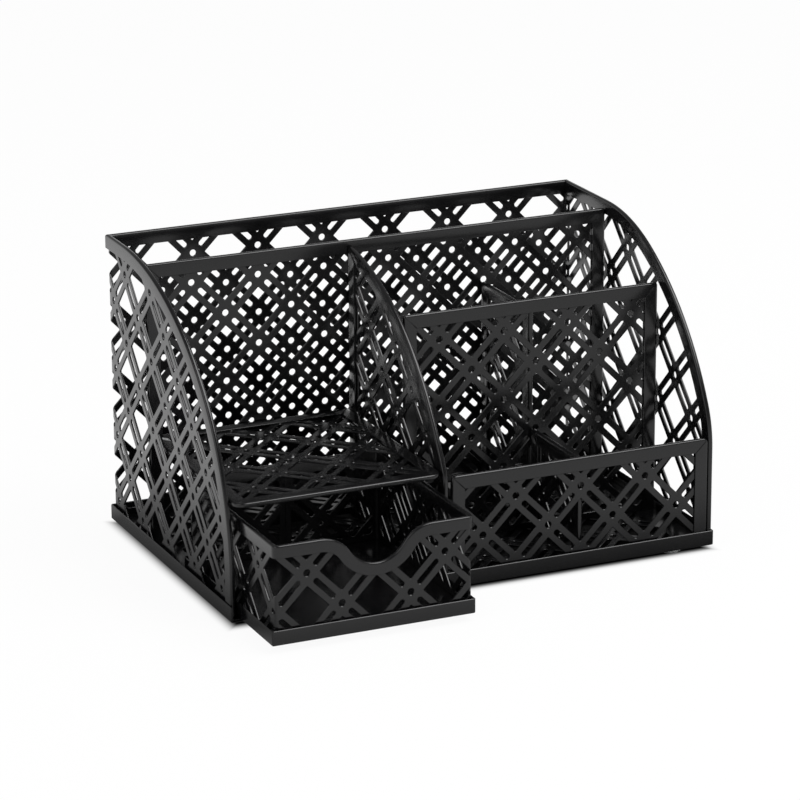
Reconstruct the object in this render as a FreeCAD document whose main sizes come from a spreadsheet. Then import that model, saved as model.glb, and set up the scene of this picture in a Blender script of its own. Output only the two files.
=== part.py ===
"""Pen stand with drawer: a desk organizer of punched and folded sheet steel.

A low pan carries three outer walls, three upright dividers across the width, two
short cross dividers, a front panel and a shelf. Every sheet is punched with one
lattice of paired slanting bars, but for the drawer's plain floor, and every free
edge is held in a folded edging. A drawer with a thumb scoop runs under the shelf
at the left. It is modelled drawn part of the way out.

Millimetres. X runs left to right, -Y is the front, +Z is up. The pieces are drawn
about the middle of the pan, on the desk, and then moved back by half of the
drawer's way out, so that the origin lies under the middle of the whole stand.
"""
import FreeCAD, Part
import math
import os
from FreeCAD import Placement, Rotation, Vector

# Driving sizes: name, value, meaning
SIZES = [
    ("overall_width", 220.0, "outside of the pan, left to right"),
    ("overall_depth", 140.0, "outside of the pan, front to back"),
    ("overall_height", 129.5, "top of the outer walls above the desk"),
    ("sheet", 0.8, "punched sheet of walls, dividers and shelf"),
    ("pan_sheet", 0.6, "sheet of the two pans and their floors"),
    ("fit", 0.1, "clearance between pieces that are pushed together"),
    ("rim_height", 6.5, "upstanding rim of the pan"),
    ("pan_corner", 0.8, "radius of the upright corners of a pan"),
    ("foot_diameter", 10.6, "bumper foot across"),
    ("foot_height", 2.0, "bumper foot, desk to pan"),
    ("foot_rounding", 1.2, "rounded lower edge of a foot"),
    ("foot_side_inset", 17.7, "foot centre from the side of the pan"),
    ("foot_end_inset", 6.5, "foot centre from the front or back of the pan"),
    ("flange_width", 12.4, "folded flange under the pan floor"),
    ("wall_bend", 1.6, "outer radius of the upright bends of the outer wall"),
    ("edging_wall", 0.7, "steel of the folded edging"),
    ("edging_width", 6.0, "legs of the folded edging"),
    ("edging_nose", 0.9, "rounding along the fold of the edging"),
    ("sheet_border", 3.0, "unpunched border inside the edging"),
    ("bend_border", 0.4, "unpunched strip beside an upright bend"),
    ("pitch", 30.0, "lattice, crossing to crossing along a row"),
    ("bar_width", 2.8, "one bar of a pair"),
    ("slot_width", 2.2, "slot between the two bars of a pair"),
    ("slot_start", 4.4, "crossing centre to the end of a slot"),
    ("hole_diameter", 2.9, "round hole at each crossing"),
    ("left_wall_setback", 1.8, "front edge of the left wall behind that of the right wall"),
    ("left_curve_run", 117.9, "left wall, length of the falling curve"),
    ("left_curve_drop", 109.1, "left wall, height of the falling curve"),
    ("left_curve_upper", 125.9, "left wall, radius at the top of the curve"),
    ("left_curve_middle", 166.4, "left wall, radius halfway down the curve"),
    ("left_curve_lower", 104.4, "left wall, radius at the foot of the curve"),
    ("right_curve_run", 98.3, "right wall, length of the falling curve"),
    ("right_curve_drop", 84.9, "right wall, height of the falling curve"),
    ("right_curve_upper", 84.6, "right wall, radius at the top of the curve"),
    ("right_curve_middle", 127.0, "right wall, radius halfway down the curve"),
    ("right_curve_lower", 42.5, "right wall, radius at the foot of the curve"),
    ("rear_divider_back", 41.3, "back of the pan to the middle of the rear divider"),
    ("rear_divider_top", 126.2, "top of the rear divider above the desk"),
    ("front_divider_back", 91.0, "back of the pan to the middle of the front divider"),
    ("front_divider_top", 105.5, "top of the front divider above the desk"),
    ("divider_corner", 1.2, "rounding of the top corners of the dividers"),
    ("centre_divider_left", 95.5, "left side of the pan to the centre divider"),
    ("centre_divider_top", 124.9, "level that the centre divider's curve rises to"),
    ("centre_curve_run", 111.7, "centre divider, length of the falling curve"),
    ("centre_curve_drop", 78.8, "centre divider, height of the falling curve"),
    ("centre_curve_upper", 118.0, "centre divider, radius at the top of the curve"),
    ("centre_curve_middle", 206.0, "centre divider, radius halfway down the curve"),
    ("centre_curve_lower", 14.0, "centre divider, radius at the foot of the curve"),
    ("right_bay_gap", 1.4, "centre divider to the panels on its right"),
    ("front_panel_top", 49.8, "top of the front panel above the desk"),
    ("front_panel_corner", 2.2, "rounding of the top corners of the front panel"),
    ("cross_divider_right", 62.0, "right side of the pan to the cross dividers"),
    ("rear_cross_top", 100.5, "top of the rear cross divider above the desk"),
    ("front_cross_top", 48.4, "top of the front cross divider above the desk"),
    ("shelf_top", 51.8, "top of the shelf over the drawer, above the desk"),
    ("shelf_corner", 5.0, "rounding of the front corners of the shelf"),
    ("shelf_back_corner", 1.0, "rounding of the back corners of the shelf"),
    ("drawer_width", 88.8, "outside of the drawer pan, left to right"),
    ("drawer_depth", 96.0, "outside of the drawer pan, front to back"),
    ("drawer_gap", 0.8, "drawer pan to the left wall's edging"),
    ("drawer_top", 44.8, "top of the drawer above the desk"),
    ("drawer_out", 34.0, "how far the drawer is drawn out here"),
    ("drawer_run", 0.2, "running clearance under the drawer"),
    ("drawer_rim_height", 6.3, "upstanding rim of the drawer pan"),
    ("drawer_flange", 6.0, "folded flange under the drawer floor"),
    ("drawer_ledge", 0.9, "mean gap between the drawer rim and its wall"),
    ("drawer_wall_shift", 0.6, "drawer wall, right of the middle of its pan"),
    ("drawer_bend", 2.0, "outer radius of the upright bends of the drawer wall"),
    ("drawer_edging_width", 5.4, "legs of the edging on the drawer"),
    ("scoop_depth", 13.3, "thumb scoop below the top of the drawer"),
    ("scoop_shoulder", 15.3, "radius of the shoulders of the scoop"),
    ("scoop_bottom", 13.6, "radius of the bottom of the scoop"),
    ("scoop_shift", 1.1, "thumb scoop, right of the middle of the drawer wall"),
    ("back_lattice_across", -10.2, "back wall, a crossing along X"),
    ("back_lattice_up", 117.0, "back wall, the same crossing along Z"),
    ("left_lattice_across", 4.0, "left wall, a crossing along Y"),
    ("left_lattice_up", 41.8, "left wall, the same crossing along Z"),
    ("right_lattice_across", -36.7, "right wall, a crossing along Y"),
    ("right_lattice_up", 68.3, "right wall, the same crossing along Z"),
    ("rear_lattice_across", -56.3, "rear divider, a crossing along X"),
    ("rear_lattice_up", 116.0, "rear divider, the same crossing along Z"),
    ("front_lattice_across", 4.5, "front divider, a crossing along X"),
    ("front_lattice_up", 93.1, "front divider, the same crossing along Z"),
    ("panel_lattice_across", 17.4, "front panel, a crossing along X"),
    ("panel_lattice_up", 37.2, "front panel, the same crossing along Z"),
    ("centre_lattice_across", -21.0, "centre divider, a crossing along Y"),
    ("cross_lattice_up", 86.5, "rear cross divider, a crossing along Z"),
    ("low_lattice_up", 34.4, "front cross divider, a crossing along Z"),
    ("drawer_lattice_shift", 0.8, "drawer front, a crossing from its middle"),
    ("drawer_lattice_up", 31.5, "drawer, the same crossing along Z"),
]

# Openings smaller than this share of a crossing hole aren't punched
SLIVER_SHARE = 0.15

document = FreeCAD.newDocument("pen_stand")
sheet = document.addObject("Spreadsheet::Sheet", "Sizes")
for row, (alias, value, meaning) in enumerate(SIZES, start=1):
    sheet.set("A%d" % row, meaning)
    sheet.set("B%d" % row, str(value))
    sheet.setAlias("B%d" % row, alias)
document.recompute()


def size(alias):
    """A driving size, as the sheet holds it."""
    return float(sheet.get(alias))


def bind(feature, **expressions):
    """Bind a feature's properties to cells of the sheet."""
    for name, expression in expressions.items():
        feature.setExpression(name, expression)


# Planes that the flat pieces lie in: the origin plane and how it is turned
FACING_FRONT = ("XZ_Plane", Rotation(Vector(1, 0, 0), 90))
FACING_SIDE = ("YZ_Plane", Rotation(Vector(1, 1, 1), 120))
LYING_FLAT = ("XY_Plane", Rotation())

# Derived sizes that several pieces share
edging = size("sheet") + 2 * size("edging_wall")
half_edging = edging / 2
half_sheet = size("sheet") / 2
half_width = size("overall_width") / 2
half_depth = size("overall_depth") / 2
edging_side = half_width - size("pan_sheet") - size("fit")
edging_end = half_depth - size("pan_sheet") - size("fit")
wall_side = edging_side - half_edging
wall_end = edging_end - half_edging
floor_bottom = size("foot_height") + size("pan_sheet")
floor_top = floor_bottom + size("pan_sheet")
sheet_inset = size("edging_wall") + size("fit")
inner_side = edging_side - edging - size("fit")

rear_y = half_depth - size("rear_divider_back")
front_y = half_depth - size("front_divider_back")
panel_y = -edging_end + half_edging
centre_x = size("centre_divider_left") - half_width
cross_x = half_width - size("cross_divider_right")
bay_left = centre_x + half_edging + size("right_bay_gap")

# The drawer's own frame: closed, its pan is flush with the front of the big pan
drawer_front = -half_depth - size("drawer_out")
drawer_back = drawer_front + size("drawer_depth")
drawer_left = -edging_side + edging + size("drawer_gap")
drawer_right = drawer_left + size("drawer_width")
drawer_x = (drawer_left + drawer_right) / 2 + size("drawer_wall_shift")
drawer_bottom = floor_top + size("drawer_run")
drawer_floor_top = drawer_bottom + 2 * size("pan_sheet")
drawer_wall_inset = size("pan_sheet") + size("drawer_ledge") + half_sheet
drawer_bend = size("drawer_bend") - half_sheet
drawer_wall_half = size("drawer_width") / 2 - drawer_wall_inset
drawer_flat_half = drawer_wall_half - drawer_bend


# Outlines: lists of segments, each a line (start, end) or an arc (start, middle, end)

def polar(centre, radius, angle):
    """The point at an angle on a circle."""
    return (centre[0] + radius * math.cos(angle), centre[1] + radius * math.sin(angle))


def arc_about(centre, radius, start, end):
    """An arc segment about a centre, between two angles."""
    return tuple(polar(centre, radius, angle) for angle in (start, (start + end) / 2, end))


def polygon(points):
    """Line segments through points, closed."""
    return [(a, b) for a, b in zip(points, points[1:] + points[:1])]


def rectangle(left, right, bottom, top):
    """A closed rectangle."""
    return polygon([(left, bottom), (right, bottom), (right, top), (left, top)])


def linked(path):
    """A path of arcs and lines, with a line wherever two pieces don't meet."""
    whole = []
    for segment in path:
        if whole and math.dist(whole[-1][-1], segment[0]) > size("fit") * SLIVER_SHARE:
            whole.append((whole[-1][-1], segment[0]))
        whole.append(segment)
    return whole


def arch(left, right, bottom, top, radius, inset=0.0):
    """Up the left side, over the top and down the right, moved inwards by inset."""
    low, high, roof, turn = left + inset, right - inset, top - inset, radius - inset
    if turn <= 0:
        return [((low, bottom), (low, roof)), ((low, roof), (high, roof)), ((high, roof), (high, bottom))]
    first = arc_about((low + turn, roof - turn), turn, math.pi, math.pi / 2)
    second = arc_about((high - turn, roof - turn), turn, math.pi / 2, 0)
    return linked([((low, bottom), first[0]), first, second, (second[-1], (high, bottom))])


def falling(front, back, bottom, top, curve, leg, inset=0.0):
    """Up the front, round three tangent arcs and back along the top, then down a rear leg if asked."""
    run, drop, upper, middle, lower = (size(curve + "_curve_" + name)
                                       for name in ("run", "drop", "upper", "middle", "lower"))
    high_centre = (front + run, top - upper)
    low_centre = (front + lower, top - drop)
    span = math.dist(high_centre, low_centre)
    along = (span ** 2 + (middle - upper) ** 2 - (middle - lower) ** 2) / (2 * span)
    across = math.sqrt((middle - upper) ** 2 - along ** 2)
    unit = ((low_centre[0] - high_centre[0]) / span, (low_centre[1] - high_centre[1]) / span)
    mid_centre = (high_centre[0] + unit[0] * along - unit[1] * across,
                  high_centre[1] + unit[1] * along + unit[0] * across)
    low_turn = math.atan2(low_centre[1] - mid_centre[1], low_centre[0] - mid_centre[0])
    high_turn = math.atan2(high_centre[1] - mid_centre[1], high_centre[0] - mid_centre[0])
    end = back - inset if leg else back
    stop = math.acos(min(0, (end - high_centre[0]) / (upper - inset)))
    path = linked([((front + inset, bottom), (front + inset, low_centre[1])),
                   arc_about(low_centre, lower - inset, math.pi, low_turn),
                   arc_about(mid_centre, middle - inset, low_turn, high_turn),
                   arc_about(high_centre, upper - inset, high_turn, stop)])
    if end > high_centre[0]:
        path.append((path[-1][-1], (end, top - inset)))
    if leg:
        path.append((path[-1][-1], (end, bottom)))
    return path


def scooped(left, right, top, inset=0.0):
    """Along the top of the drawer front, through the thumb scoop."""
    shoulder, bottom, depth = size("scoop_shoulder"), size("scoop_bottom"), size("scoop_depth")
    centre = drawer_x + size("scoop_shift")
    rise = shoulder + bottom - depth
    reach = math.sqrt((shoulder + bottom) ** 2 - rise ** 2)
    outer = (centre - reach, top - shoulder)
    middle = (centre, top - depth + bottom)
    turn = math.atan2(rise, reach)
    first = arc_about(outer, shoulder - inset, math.pi / 2, turn)
    second = arc_about(middle, bottom + inset, math.pi + turn, 3 * math.pi / 2)
    half = [((left, top - inset), first[0]), first, second]
    mirrored = [tuple((2 * centre - x, z) for x, z in reversed(segment)) for segment in (second, first)]
    return linked(half + mirrored + [(mirrored[-1][-1], (right, top - inset))])


def band(outer, inner):
    """The closed strip between a path and the same path moved inwards."""
    back = [tuple(reversed(segment)) for segment in reversed(inner)]
    return outer + [(outer[-1][-1], back[0][0])] + back + [(back[-1][-1], outer[0][0])]


def closed(path):
    """A path closed by a straight line."""
    return path + [(path[-1][-1], path[0][0])]


def curve_of(segment):
    """The curve of a segment, in the plane of its sketch."""
    points = [Vector(u, v, 0) for u, v in segment]
    return Part.LineSegment(*points) if len(points) == 2 else Part.ArcOfCircle(*points)


def wire_of(segments):
    """A wire through the segments."""
    return Part.Wire([curve_of(segment).toShape() for segment in segments])


# The punched lattice

def unit_openings():
    """The openings that belong to one crossing, as faces about the origin."""
    pitch, radius = size("pitch"), size("slot_width") / 2
    diamond = pitch / 2 - size("slot_width") / math.sqrt(2) - math.sqrt(2) * size("bar_width")
    step = pitch / math.sqrt(2) / 2
    reach = step - size("slot_start") - radius
    hole = Part.Wire([Part.Circle(Vector(0, 0, 0), Vector(0, 0, 1), size("hole_diameter") / 2).toShape()])
    lozenge = wire_of(polygon([(pitch / 2 - diamond, 0), (pitch / 2, -diamond),
                               (pitch / 2 + diamond, 0), (pitch / 2, diamond)]))
    slot = wire_of([((step - reach, -radius), (step + reach, -radius)),
                    arc_about((step + reach, 0), radius, -math.pi / 2, math.pi / 2),
                    ((step + reach, radius), (step - reach, radius)),
                    arc_about((step - reach, 0), radius, math.pi / 2, 3 * math.pi / 2)])
    turned = []
    for degrees in (45, -45):
        copy = slot.copy()
        copy.rotate(Vector(0, 0, 0), Vector(0, 0, 1), degrees)
        turned.append(copy)
    return [Part.Face(wire) for wire in [hole, lozenge] + turned]


OPENINGS = unit_openings()


def half_pitches(low, high, crossing):
    """How many half pitches from a crossing its neighbours lie, from below low to above high."""
    half = size("pitch") / 2
    return range(math.floor((low - crossing) / half) - 2, math.ceil((high - crossing) / half) + 2)


def openings_in(window, across, up):
    """The lattice's openings inside a window, cut off along its edge."""
    frame, outline = window.BoundBox, window.OuterWire
    pitch = size("pitch")
    least = SLIVER_SHARE * math.pi * size("hole_diameter") ** 2 / 4
    columns = half_pitches(frame.XMin, frame.XMax, across)
    rows = half_pitches(frame.YMin, frame.YMax, up)
    found = []
    for column, row in ((c, r) for c in columns for r in rows if (c + r) % 2 == 0):
        move = Vector(across + column * pitch / 2, up + row * pitch / 2, 0)
        for opening in OPENINGS:
            face = opening.translated(move)
            box = face.BoundBox
            if not frame.intersect(box):
                continue
            inside = window.isInside(box.Center, size("fit"), True)
            if inside and outline.distToShape(face.OuterWire)[0] > size("fit"):
                found.append(face)
            else:
                found += [piece for piece in window.common(face).Faces if piece.Area > least]
    return found


def punched_face(outline, window, across, up):
    """A flat face with the lattice punched in its window."""
    face = Part.Face(wire_of(outline))
    punched = face.cut(Part.Compound(openings_in(Part.Face(wire_of(window)), across, up)))
    return max(punched.Faces, key=lambda piece: piece.Area)


def flat_sheet(label, plane, offset, outline, window, across, up, thickness="Sizes.sheet"):
    """A punched sheet about a plane, offset along the plane's normal axis."""
    face = document.addObject("Part::Feature", label + "_face")
    face.Shape = punched_face(outline, window, across, up)
    face.Placement = Placement(offset, plane[1])
    solid = document.addObject("Part::Extrusion", label)
    solid.Base = face
    solid.DirMode = "Normal"
    solid.Symmetric = True
    solid.Solid = True
    bind(solid, LengthFwd=thickness)
    return solid


# Folded and padded pieces

def body_of(label, place=Vector(0, 0, 0)):
    """An empty body at its place."""
    body = document.addObject("PartDesign::Body", label)
    body.Placement = Placement(place, Rotation())
    return body


def sketch_on(body, name, role, segments, height=0.0):
    """A sketch on one of the body's own origin planes, raised along its normal."""
    sketch = body.newObject("Sketcher::SketchObject", name)
    origin_plane = [part for part in body.Origin.OriginFeatures if part.Role == role][0]
    sketch.AttachmentSupport = [(origin_plane, "")]
    sketch.MapMode = "FlatFace"
    sketch.AttachmentOffset = Placement(Vector(0, 0, height), Rotation())
    for segment in segments:
        sketch.addGeometry(curve_of(segment))
    return sketch


def feature_on(body, kind, name, sketch, length, side="Symmetric", backwards=False):
    """A pad or a pocket of a sketch, its length bound to the sheet."""
    feature = body.newObject("PartDesign::" + kind, name)
    feature.Profile = sketch
    feature.SideType = side
    feature.Reversed = backwards
    bind(feature, Length=length)
    document.recompute()
    return feature


def pocket(body, name, role, segments, length, side="Symmetric", height=0.0, backwards=False):
    """A pocket that is checked to have cut something."""
    before = body.Shape.Volume
    sketch = sketch_on(body, name + "_sketch", role, segments, height)
    feature_on(body, "Pocket", name, sketch, length, side, backwards)
    if body.Shape.Volume >= before:
        raise ValueError(name + " cuts nothing")


def fillet_on(body, name, edges, radius):
    """Round the named edges of a body."""
    base = body.Tip
    fillet = body.newObject("PartDesign::Fillet", name)
    fillet.Base = (base, edges)
    bind(fillet, Radius=radius)
    document.recompute()


def fold_edges(shape, wire, axis):
    """The names of the two edges of the fold along each stretch of a wire."""
    names = []
    limit = size("fit") * SLIVER_SHARE
    for number, edge in enumerate(shape.Edges, start=1):
        middle = edge.valueAt((edge.FirstParameter + edge.LastParameter) / 2)
        level = middle.dot(axis)
        if abs(abs(level) - half_edging) > limit or abs(edge.Vertexes[0].Point.dot(axis) - level) > limit:
            continue
        if wire.distToShape(Part.Vertex(middle - axis * level))[0] < limit:
            names.append("Edge%d" % number)
    return names


def round_fold(body, plane, path):
    """Round the outer edges of a folded edging."""
    axis = plane[1].multVec(Vector(0, 0, 1))
    wire = wire_of(path)
    wire.Placement = Placement(Vector(0, 0, 0), plane[1])
    edges = fold_edges(body.Tip.Shape, wire, axis)
    if not edges:
        raise ValueError(body.Name + " has no fold to round")
    fillet_on(body, body.Name + "_fold", edges, "Sizes.edging_nose")


def edging_body(label, plane, place, path_at, width):
    """A folded edging along a path: path_at gives the path moved inwards by a distance."""
    body = body_of(label, place)
    strip = sketch_on(body, label + "_strip", plane[0], band(path_at(0.0), path_at(width)))
    feature_on(body, "Pad", label + "_pad", strip, "Sizes.sheet + 2 * Sizes.edging_wall")
    channel = band(path_at(size("edging_wall")), path_at(width + size("fit")))
    pocket(body, label + "_channel", plane[0], channel, "Sizes.sheet")
    round_fold(body, plane, path_at(0.0))
    return body


def upright(label, plane, place, path_at, across, up):
    """An upright divider: its punched sheet and the edging folded over its free edges."""
    edging_body(label + "_edging", plane, place, path_at, size("edging_width"))
    outline = closed(path_at(sheet_inset))
    flat_sheet(label, plane, place, outline, bordered(path_at, floor_top), across, up)


def bordered(path_at, bottom):
    """The punched window of an upright sheet, inside its unpunched border."""
    path = path_at(sheet_inset + size("sheet_border"))
    low = bottom + size("sheet_border")
    path[0] = ((path[0][0][0], low), path[0][1])
    path[-1] = (path[-1][0], (path[-1][1][0], low))
    return closed(path)


# Pans and their floors

def pan(label, left, right, front, back, bottom, height, flange, notch=None):
    """A pan's folded ring: an upright rim on a flat flange, with an opening in its front if given."""
    steel = size("pan_sheet")
    body = body_of(label, Vector(0, 0, bottom))
    outside = sketch_on(body, label + "_outside", "XY_Plane", rectangle(left, right, front, back))
    feature_on(body, "Pad", label + "_block", outside, height, "One side")
    corners = ["Edge%d" % number for number, edge in enumerate(body.Shape.Edges, start=1)
               if edge.BoundBox.ZLength > body.Shape.BoundBox.ZLength / 2]
    fillet_on(body, label + "_corners", corners, "Sizes.pan_corner")
    inside = rectangle(left + steel, right - steel, front + steel, back - steel)
    pocket(body, label + "_inside", "XY_Plane", inside, height, "One side", steel, True)
    window = rectangle(left + flange, right - flange, front + flange, back - flange)
    pocket(body, label + "_window", "XY_Plane", window, "2 * Sizes.pan_sheet")
    if notch:
        opening = rectangle(notch[0], notch[1], front - steel, front + steel)
        pocket(body, label + "_opening", "XY_Plane", opening, height, "One side", steel, True)
    return body


def pan_floor(label, left, right, front, back, middle, flange, across, up):
    """The punched floor that lies in a pan, on its flange."""
    steel = size("pan_sheet")
    outline = rectangle(left + steel, right - steel, front + steel, back - steel)
    window = rectangle(left + flange, right - flange, front + flange, back - flange)
    flat_sheet(label, LYING_FLAT, Vector(0, 0, middle), outline, window, across, up, "Sizes.pan_sheet")


def plain_floor(label, left, right, front, back, bottom):
    """An unpunched floor that lies in a pan, on its flange."""
    steel = size("pan_sheet")
    body = body_of(label, Vector(0, 0, bottom))
    outline = rectangle(left + steel, right - steel, front + steel, back - steel)
    sketch = sketch_on(body, label + "_outline", "XY_Plane", outline)
    feature_on(body, "Pad", label + "_plate", sketch, "Sizes.pan_sheet", "One side")


def feet():
    """Four round bumper feet under the corners of the flange."""
    x = half_width - size("foot_side_inset")
    y = half_depth - size("foot_end_inset")
    for name, side, end in (("front_left", -1, -1), ("front_right", 1, -1),
                            ("rear_left", -1, 1), ("rear_right", 1, 1)):
        puck = document.addObject("Part::Cylinder", "foot_" + name + "_puck")
        bind(puck, Radius="Sizes.foot_diameter / 2", Height="Sizes.foot_height")
        puck.Placement = Placement(Vector(side * x, end * y, 0), Rotation())
        document.recompute()
        lowest = [number for number, edge in enumerate(puck.Shape.Edges, start=1)
                  if edge.BoundBox.ZMax < size("foot_height") / 2]
        foot = document.addObject("Part::Fillet", "foot_" + name)
        foot.Base = puck
        foot.Edges = [(number, size("foot_rounding"), size("foot_rounding")) for number in lowest]


# Outer walls

def straight_edging(label, place, start, end, role, width):
    """A straight length of edging: its folded section padded along the given axis."""
    nose, wall = size("edging_nose"), size("edging_wall")
    half = half_edging
    section = [((-half, -width), (-half, -nose)),
               arc_about((-half + nose, -nose), nose, math.pi, math.pi / 2),
               ((-half + nose, 0), (half - nose, 0)),
               arc_about((half - nose, -nose), nose, math.pi / 2, 0),
               ((half, -nose), (half, -width)),
               ((half, -width), (half_sheet, -width)),
               ((half_sheet, -width), (half_sheet, -wall)),
               ((half_sheet, -wall), (-half_sheet, -wall)),
               ((-half_sheet, -wall), (-half_sheet, -width)),
               ((-half_sheet, -width), (-half, -width))]
    body = body_of(label, place)
    sketch = sketch_on(body, label + "_section", role, section, start)
    pad = body.newObject("PartDesign::Pad", label + "_pad")
    pad.Profile = sketch
    pad.Length = end - start
    document.recompute()
    return body


def mitre(body, name, corner, inward, along, role="XY_Plane"):
    """Cut the end of an edging at 45 degrees, in plan: the corner, and the ways to its two sides."""
    reach = 2 * edging
    points = [corner, (corner[0] + inward[0] * reach, corner[1] + inward[1] * reach),
              (corner[0] + along[0] * reach, corner[1] + along[1] * reach)]
    pocket(body, name, role, polygon(points), "4 * Sizes.overall_height")


def outer_walls():
    """The back and side walls, with the edging along their free edges."""
    top = size("overall_height")
    flat_end = wall_side + half_sheet - size("wall_bend")
    bend_start = wall_end + half_sheet - size("wall_bend")
    band_bottom = top - size("edging_width")
    border, strip = size("sheet_border"), size("bend_border")

    outline = rectangle(-flat_end, flat_end, floor_top, top - sheet_inset)
    window = rectangle(-flat_end + strip, flat_end - strip, floor_top + border, top - sheet_inset - border)
    flat_sheet("back_wall_sheet", FACING_FRONT, Vector(0, wall_end, 0), outline, window,
               size("back_lattice_across"), size("back_lattice_up"))
    pieces = [document.getObject("back_wall_sheet")]
    for side, start in ((-1, math.pi / 2), (1, 0)):
        centre = (side * flat_end, bend_start)
        outer = arc_about(centre, size("wall_bend"), start, start + math.pi / 2)
        inner = arc_about(centre, size("wall_bend") - size("sheet"), start, start + math.pi / 2)
        name = "back_wall_bend_" + ("left" if side < 0 else "right")
        bend = body_of(name)
        sketch = sketch_on(bend, name + "_sketch", "XY_Plane", band([outer], [inner]), floor_top)
        pad = bend.newObject("PartDesign::Pad", name + "_pad")
        pad.Profile = sketch
        pad.Length = band_bottom - floor_top
        pieces.append(bend)
    wall = document.addObject("Part::MultiFuse", "back_wall")
    wall.Shapes = pieces

    back = straight_edging("back_wall_edging", Vector(0, wall_end, top), -edging_side, edging_side,
                           "YZ_Plane", size("edging_width"))
    for side in (-1, 1):
        mitre(back, "back_mitre_%s" % ("left" if side < 0 else "right"),
              (side * edging_side, half_edging), (0, -1), (-side, -1))

    fronts = {"left": -edging_end + size("left_wall_setback"), "right": -edging_end}
    for name, side in (("left", -1), ("right", 1)):
        front = fronts[name]

        def path_at(inset):
            return falling(front, edging_end, floor_top, top, name, False, inset)

        place = Vector(side * wall_side, 0, 0)
        wall_edging = edging_body(name + "_wall_edging", FACING_SIDE, place, path_at, size("edging_width"))
        mitre(wall_edging, name + "_mitre", (side * half_edging, edging_end), (-side, 0), (-side, -1))
        path = path_at(sheet_inset)
        path[-1] = (path[-1][0], (bend_start, path[-1][1][1]))
        outline = closed(path + [(path[-1][-1], (bend_start, floor_top))])
        path = path_at(sheet_inset + border)
        low = floor_top + border
        path[0] = ((path[0][0][0], low), path[0][1])
        path[-1] = (path[-1][0], (bend_start - strip, path[-1][1][1]))
        window = closed(path + [(path[-1][-1], (bend_start - strip, low))])
        flat_sheet(name + "_wall", FACING_SIDE, place, outline, window,
                   size(name + "_lattice_across"), size(name + "_lattice_up"))


def dividers():
    """The upright dividers, the front panel and the cross dividers."""
    centre_back = rear_y - half_edging - size("fit")
    corner = size("divider_corner")

    def across_at(left, top, radius):
        return lambda inset: arch(left, inner_side, floor_top, top, radius, inset)

    def along_at(front, back, top):
        return lambda inset: arch(front, back, floor_top, top, corner, inset)

    upright("rear_divider", FACING_FRONT, Vector(0, rear_y, 0),
            across_at(-inner_side, size("rear_divider_top"), corner),
            size("rear_lattice_across"), size("rear_lattice_up"))
    upright("front_divider", FACING_FRONT, Vector(0, front_y, 0),
            across_at(bay_left, size("front_divider_top"), corner),
            size("front_lattice_across"), size("front_lattice_up"))
    upright("front_panel", FACING_FRONT, Vector(0, panel_y, 0),
            across_at(bay_left, size("front_panel_top"), size("front_panel_corner")),
            size("panel_lattice_across"), size("panel_lattice_up"))
    upright("centre_divider", FACING_SIDE, Vector(centre_x, 0, 0),
            lambda inset: falling(-edging_end, centre_back, floor_top, size("centre_divider_top"),
                                  "centre", True, inset),
            size("centre_lattice_across"), size("front_lattice_up"))
    upright("rear_cross_divider", FACING_SIDE, Vector(cross_x, 0, 0),
            along_at(front_y + half_edging + size("fit"), centre_back, size("rear_cross_top")),
            (front_y + rear_y) / 2, size("cross_lattice_up"))
    upright("front_cross_divider", FACING_SIDE, Vector(cross_x, 0, 0),
            along_at(panel_y + half_edging + size("fit"), front_y - half_edging - size("fit"),
                     size("front_cross_top")),
            (front_y + panel_y) / 2, size("low_lattice_up"))


def ring(left, right, front, back, front_corner, back_corner, inset=0.0):
    """A closed outline with two corner sizes, moved inwards by inset."""
    low, high, near, far = left + inset, right - inset, front + inset, back - inset
    corners = [((low, near), (1, 1), front_corner, math.pi),
               ((high, near), (-1, 1), front_corner, 3 * math.pi / 2),
               ((high, far), (-1, -1), back_corner, 0),
               ((low, far), (1, -1), back_corner, math.pi / 2)]
    turns = []
    for (x, y), (to_x, to_y), radius, start in corners:
        turn = radius - inset
        if turn > 0:
            turns.append(arc_about((x + to_x * turn, y + to_y * turn), turn, start, start + math.pi / 2))
        else:
            turns.append(((x, y),))
    outline = []
    for turn, following in zip(turns, turns[1:] + turns[:1]):
        if len(turn) > 1:
            outline.append(turn)
        outline.append((turn[-1], following[0]))
    return outline


def shelf():
    """The punched shelf over the drawer, in an edging folded round all four sides."""
    middle = size("shelf_top") - half_edging
    left, right = -inner_side, centre_x - half_edging - size("fit")
    front, back = -edging_end, rear_y - half_edging - size("fit")

    def ring_at(inset):
        return ring(left, right, front, back, size("shelf_corner"), size("shelf_back_corner"), inset)

    label = "drawer_shelf"
    place = Vector(0, 0, middle)
    body = body_of(label + "_edging", place)
    strip = sketch_on(body, label + "_strip", "XY_Plane", ring_at(0.0) + ring_at(size("edging_width")))
    feature_on(body, "Pad", label + "_pad", strip, "Sizes.sheet + 2 * Sizes.edging_wall")
    channel = ring_at(size("edging_wall")) + ring_at(size("edging_width") + size("fit"))
    pocket(body, label + "_channel", "XY_Plane", channel, "Sizes.sheet")
    round_fold(body, LYING_FLAT, ring_at(0.0))
    flat_sheet(label, LYING_FLAT, place, ring_at(sheet_inset), ring_at(sheet_inset + size("sheet_border")),
               (left + right) / 2, (front + back) / 2)


# Drawer

def corner_piece(label, centre, start, inner, outer, bottom, top):
    """A quarter ring about an upright axis, from the start angle on."""
    body = body_of(label)
    outline = band([arc_about(centre, outer, start, start + math.pi / 2)],
                   [arc_about(centre, inner, start, start + math.pi / 2)])
    sketch = sketch_on(body, label + "_sketch", "XY_Plane", outline, bottom)
    pad = body.newObject("PartDesign::Pad", label + "_pad")
    pad.Profile = sketch
    pad.Length = top - bottom
    return body


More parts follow.
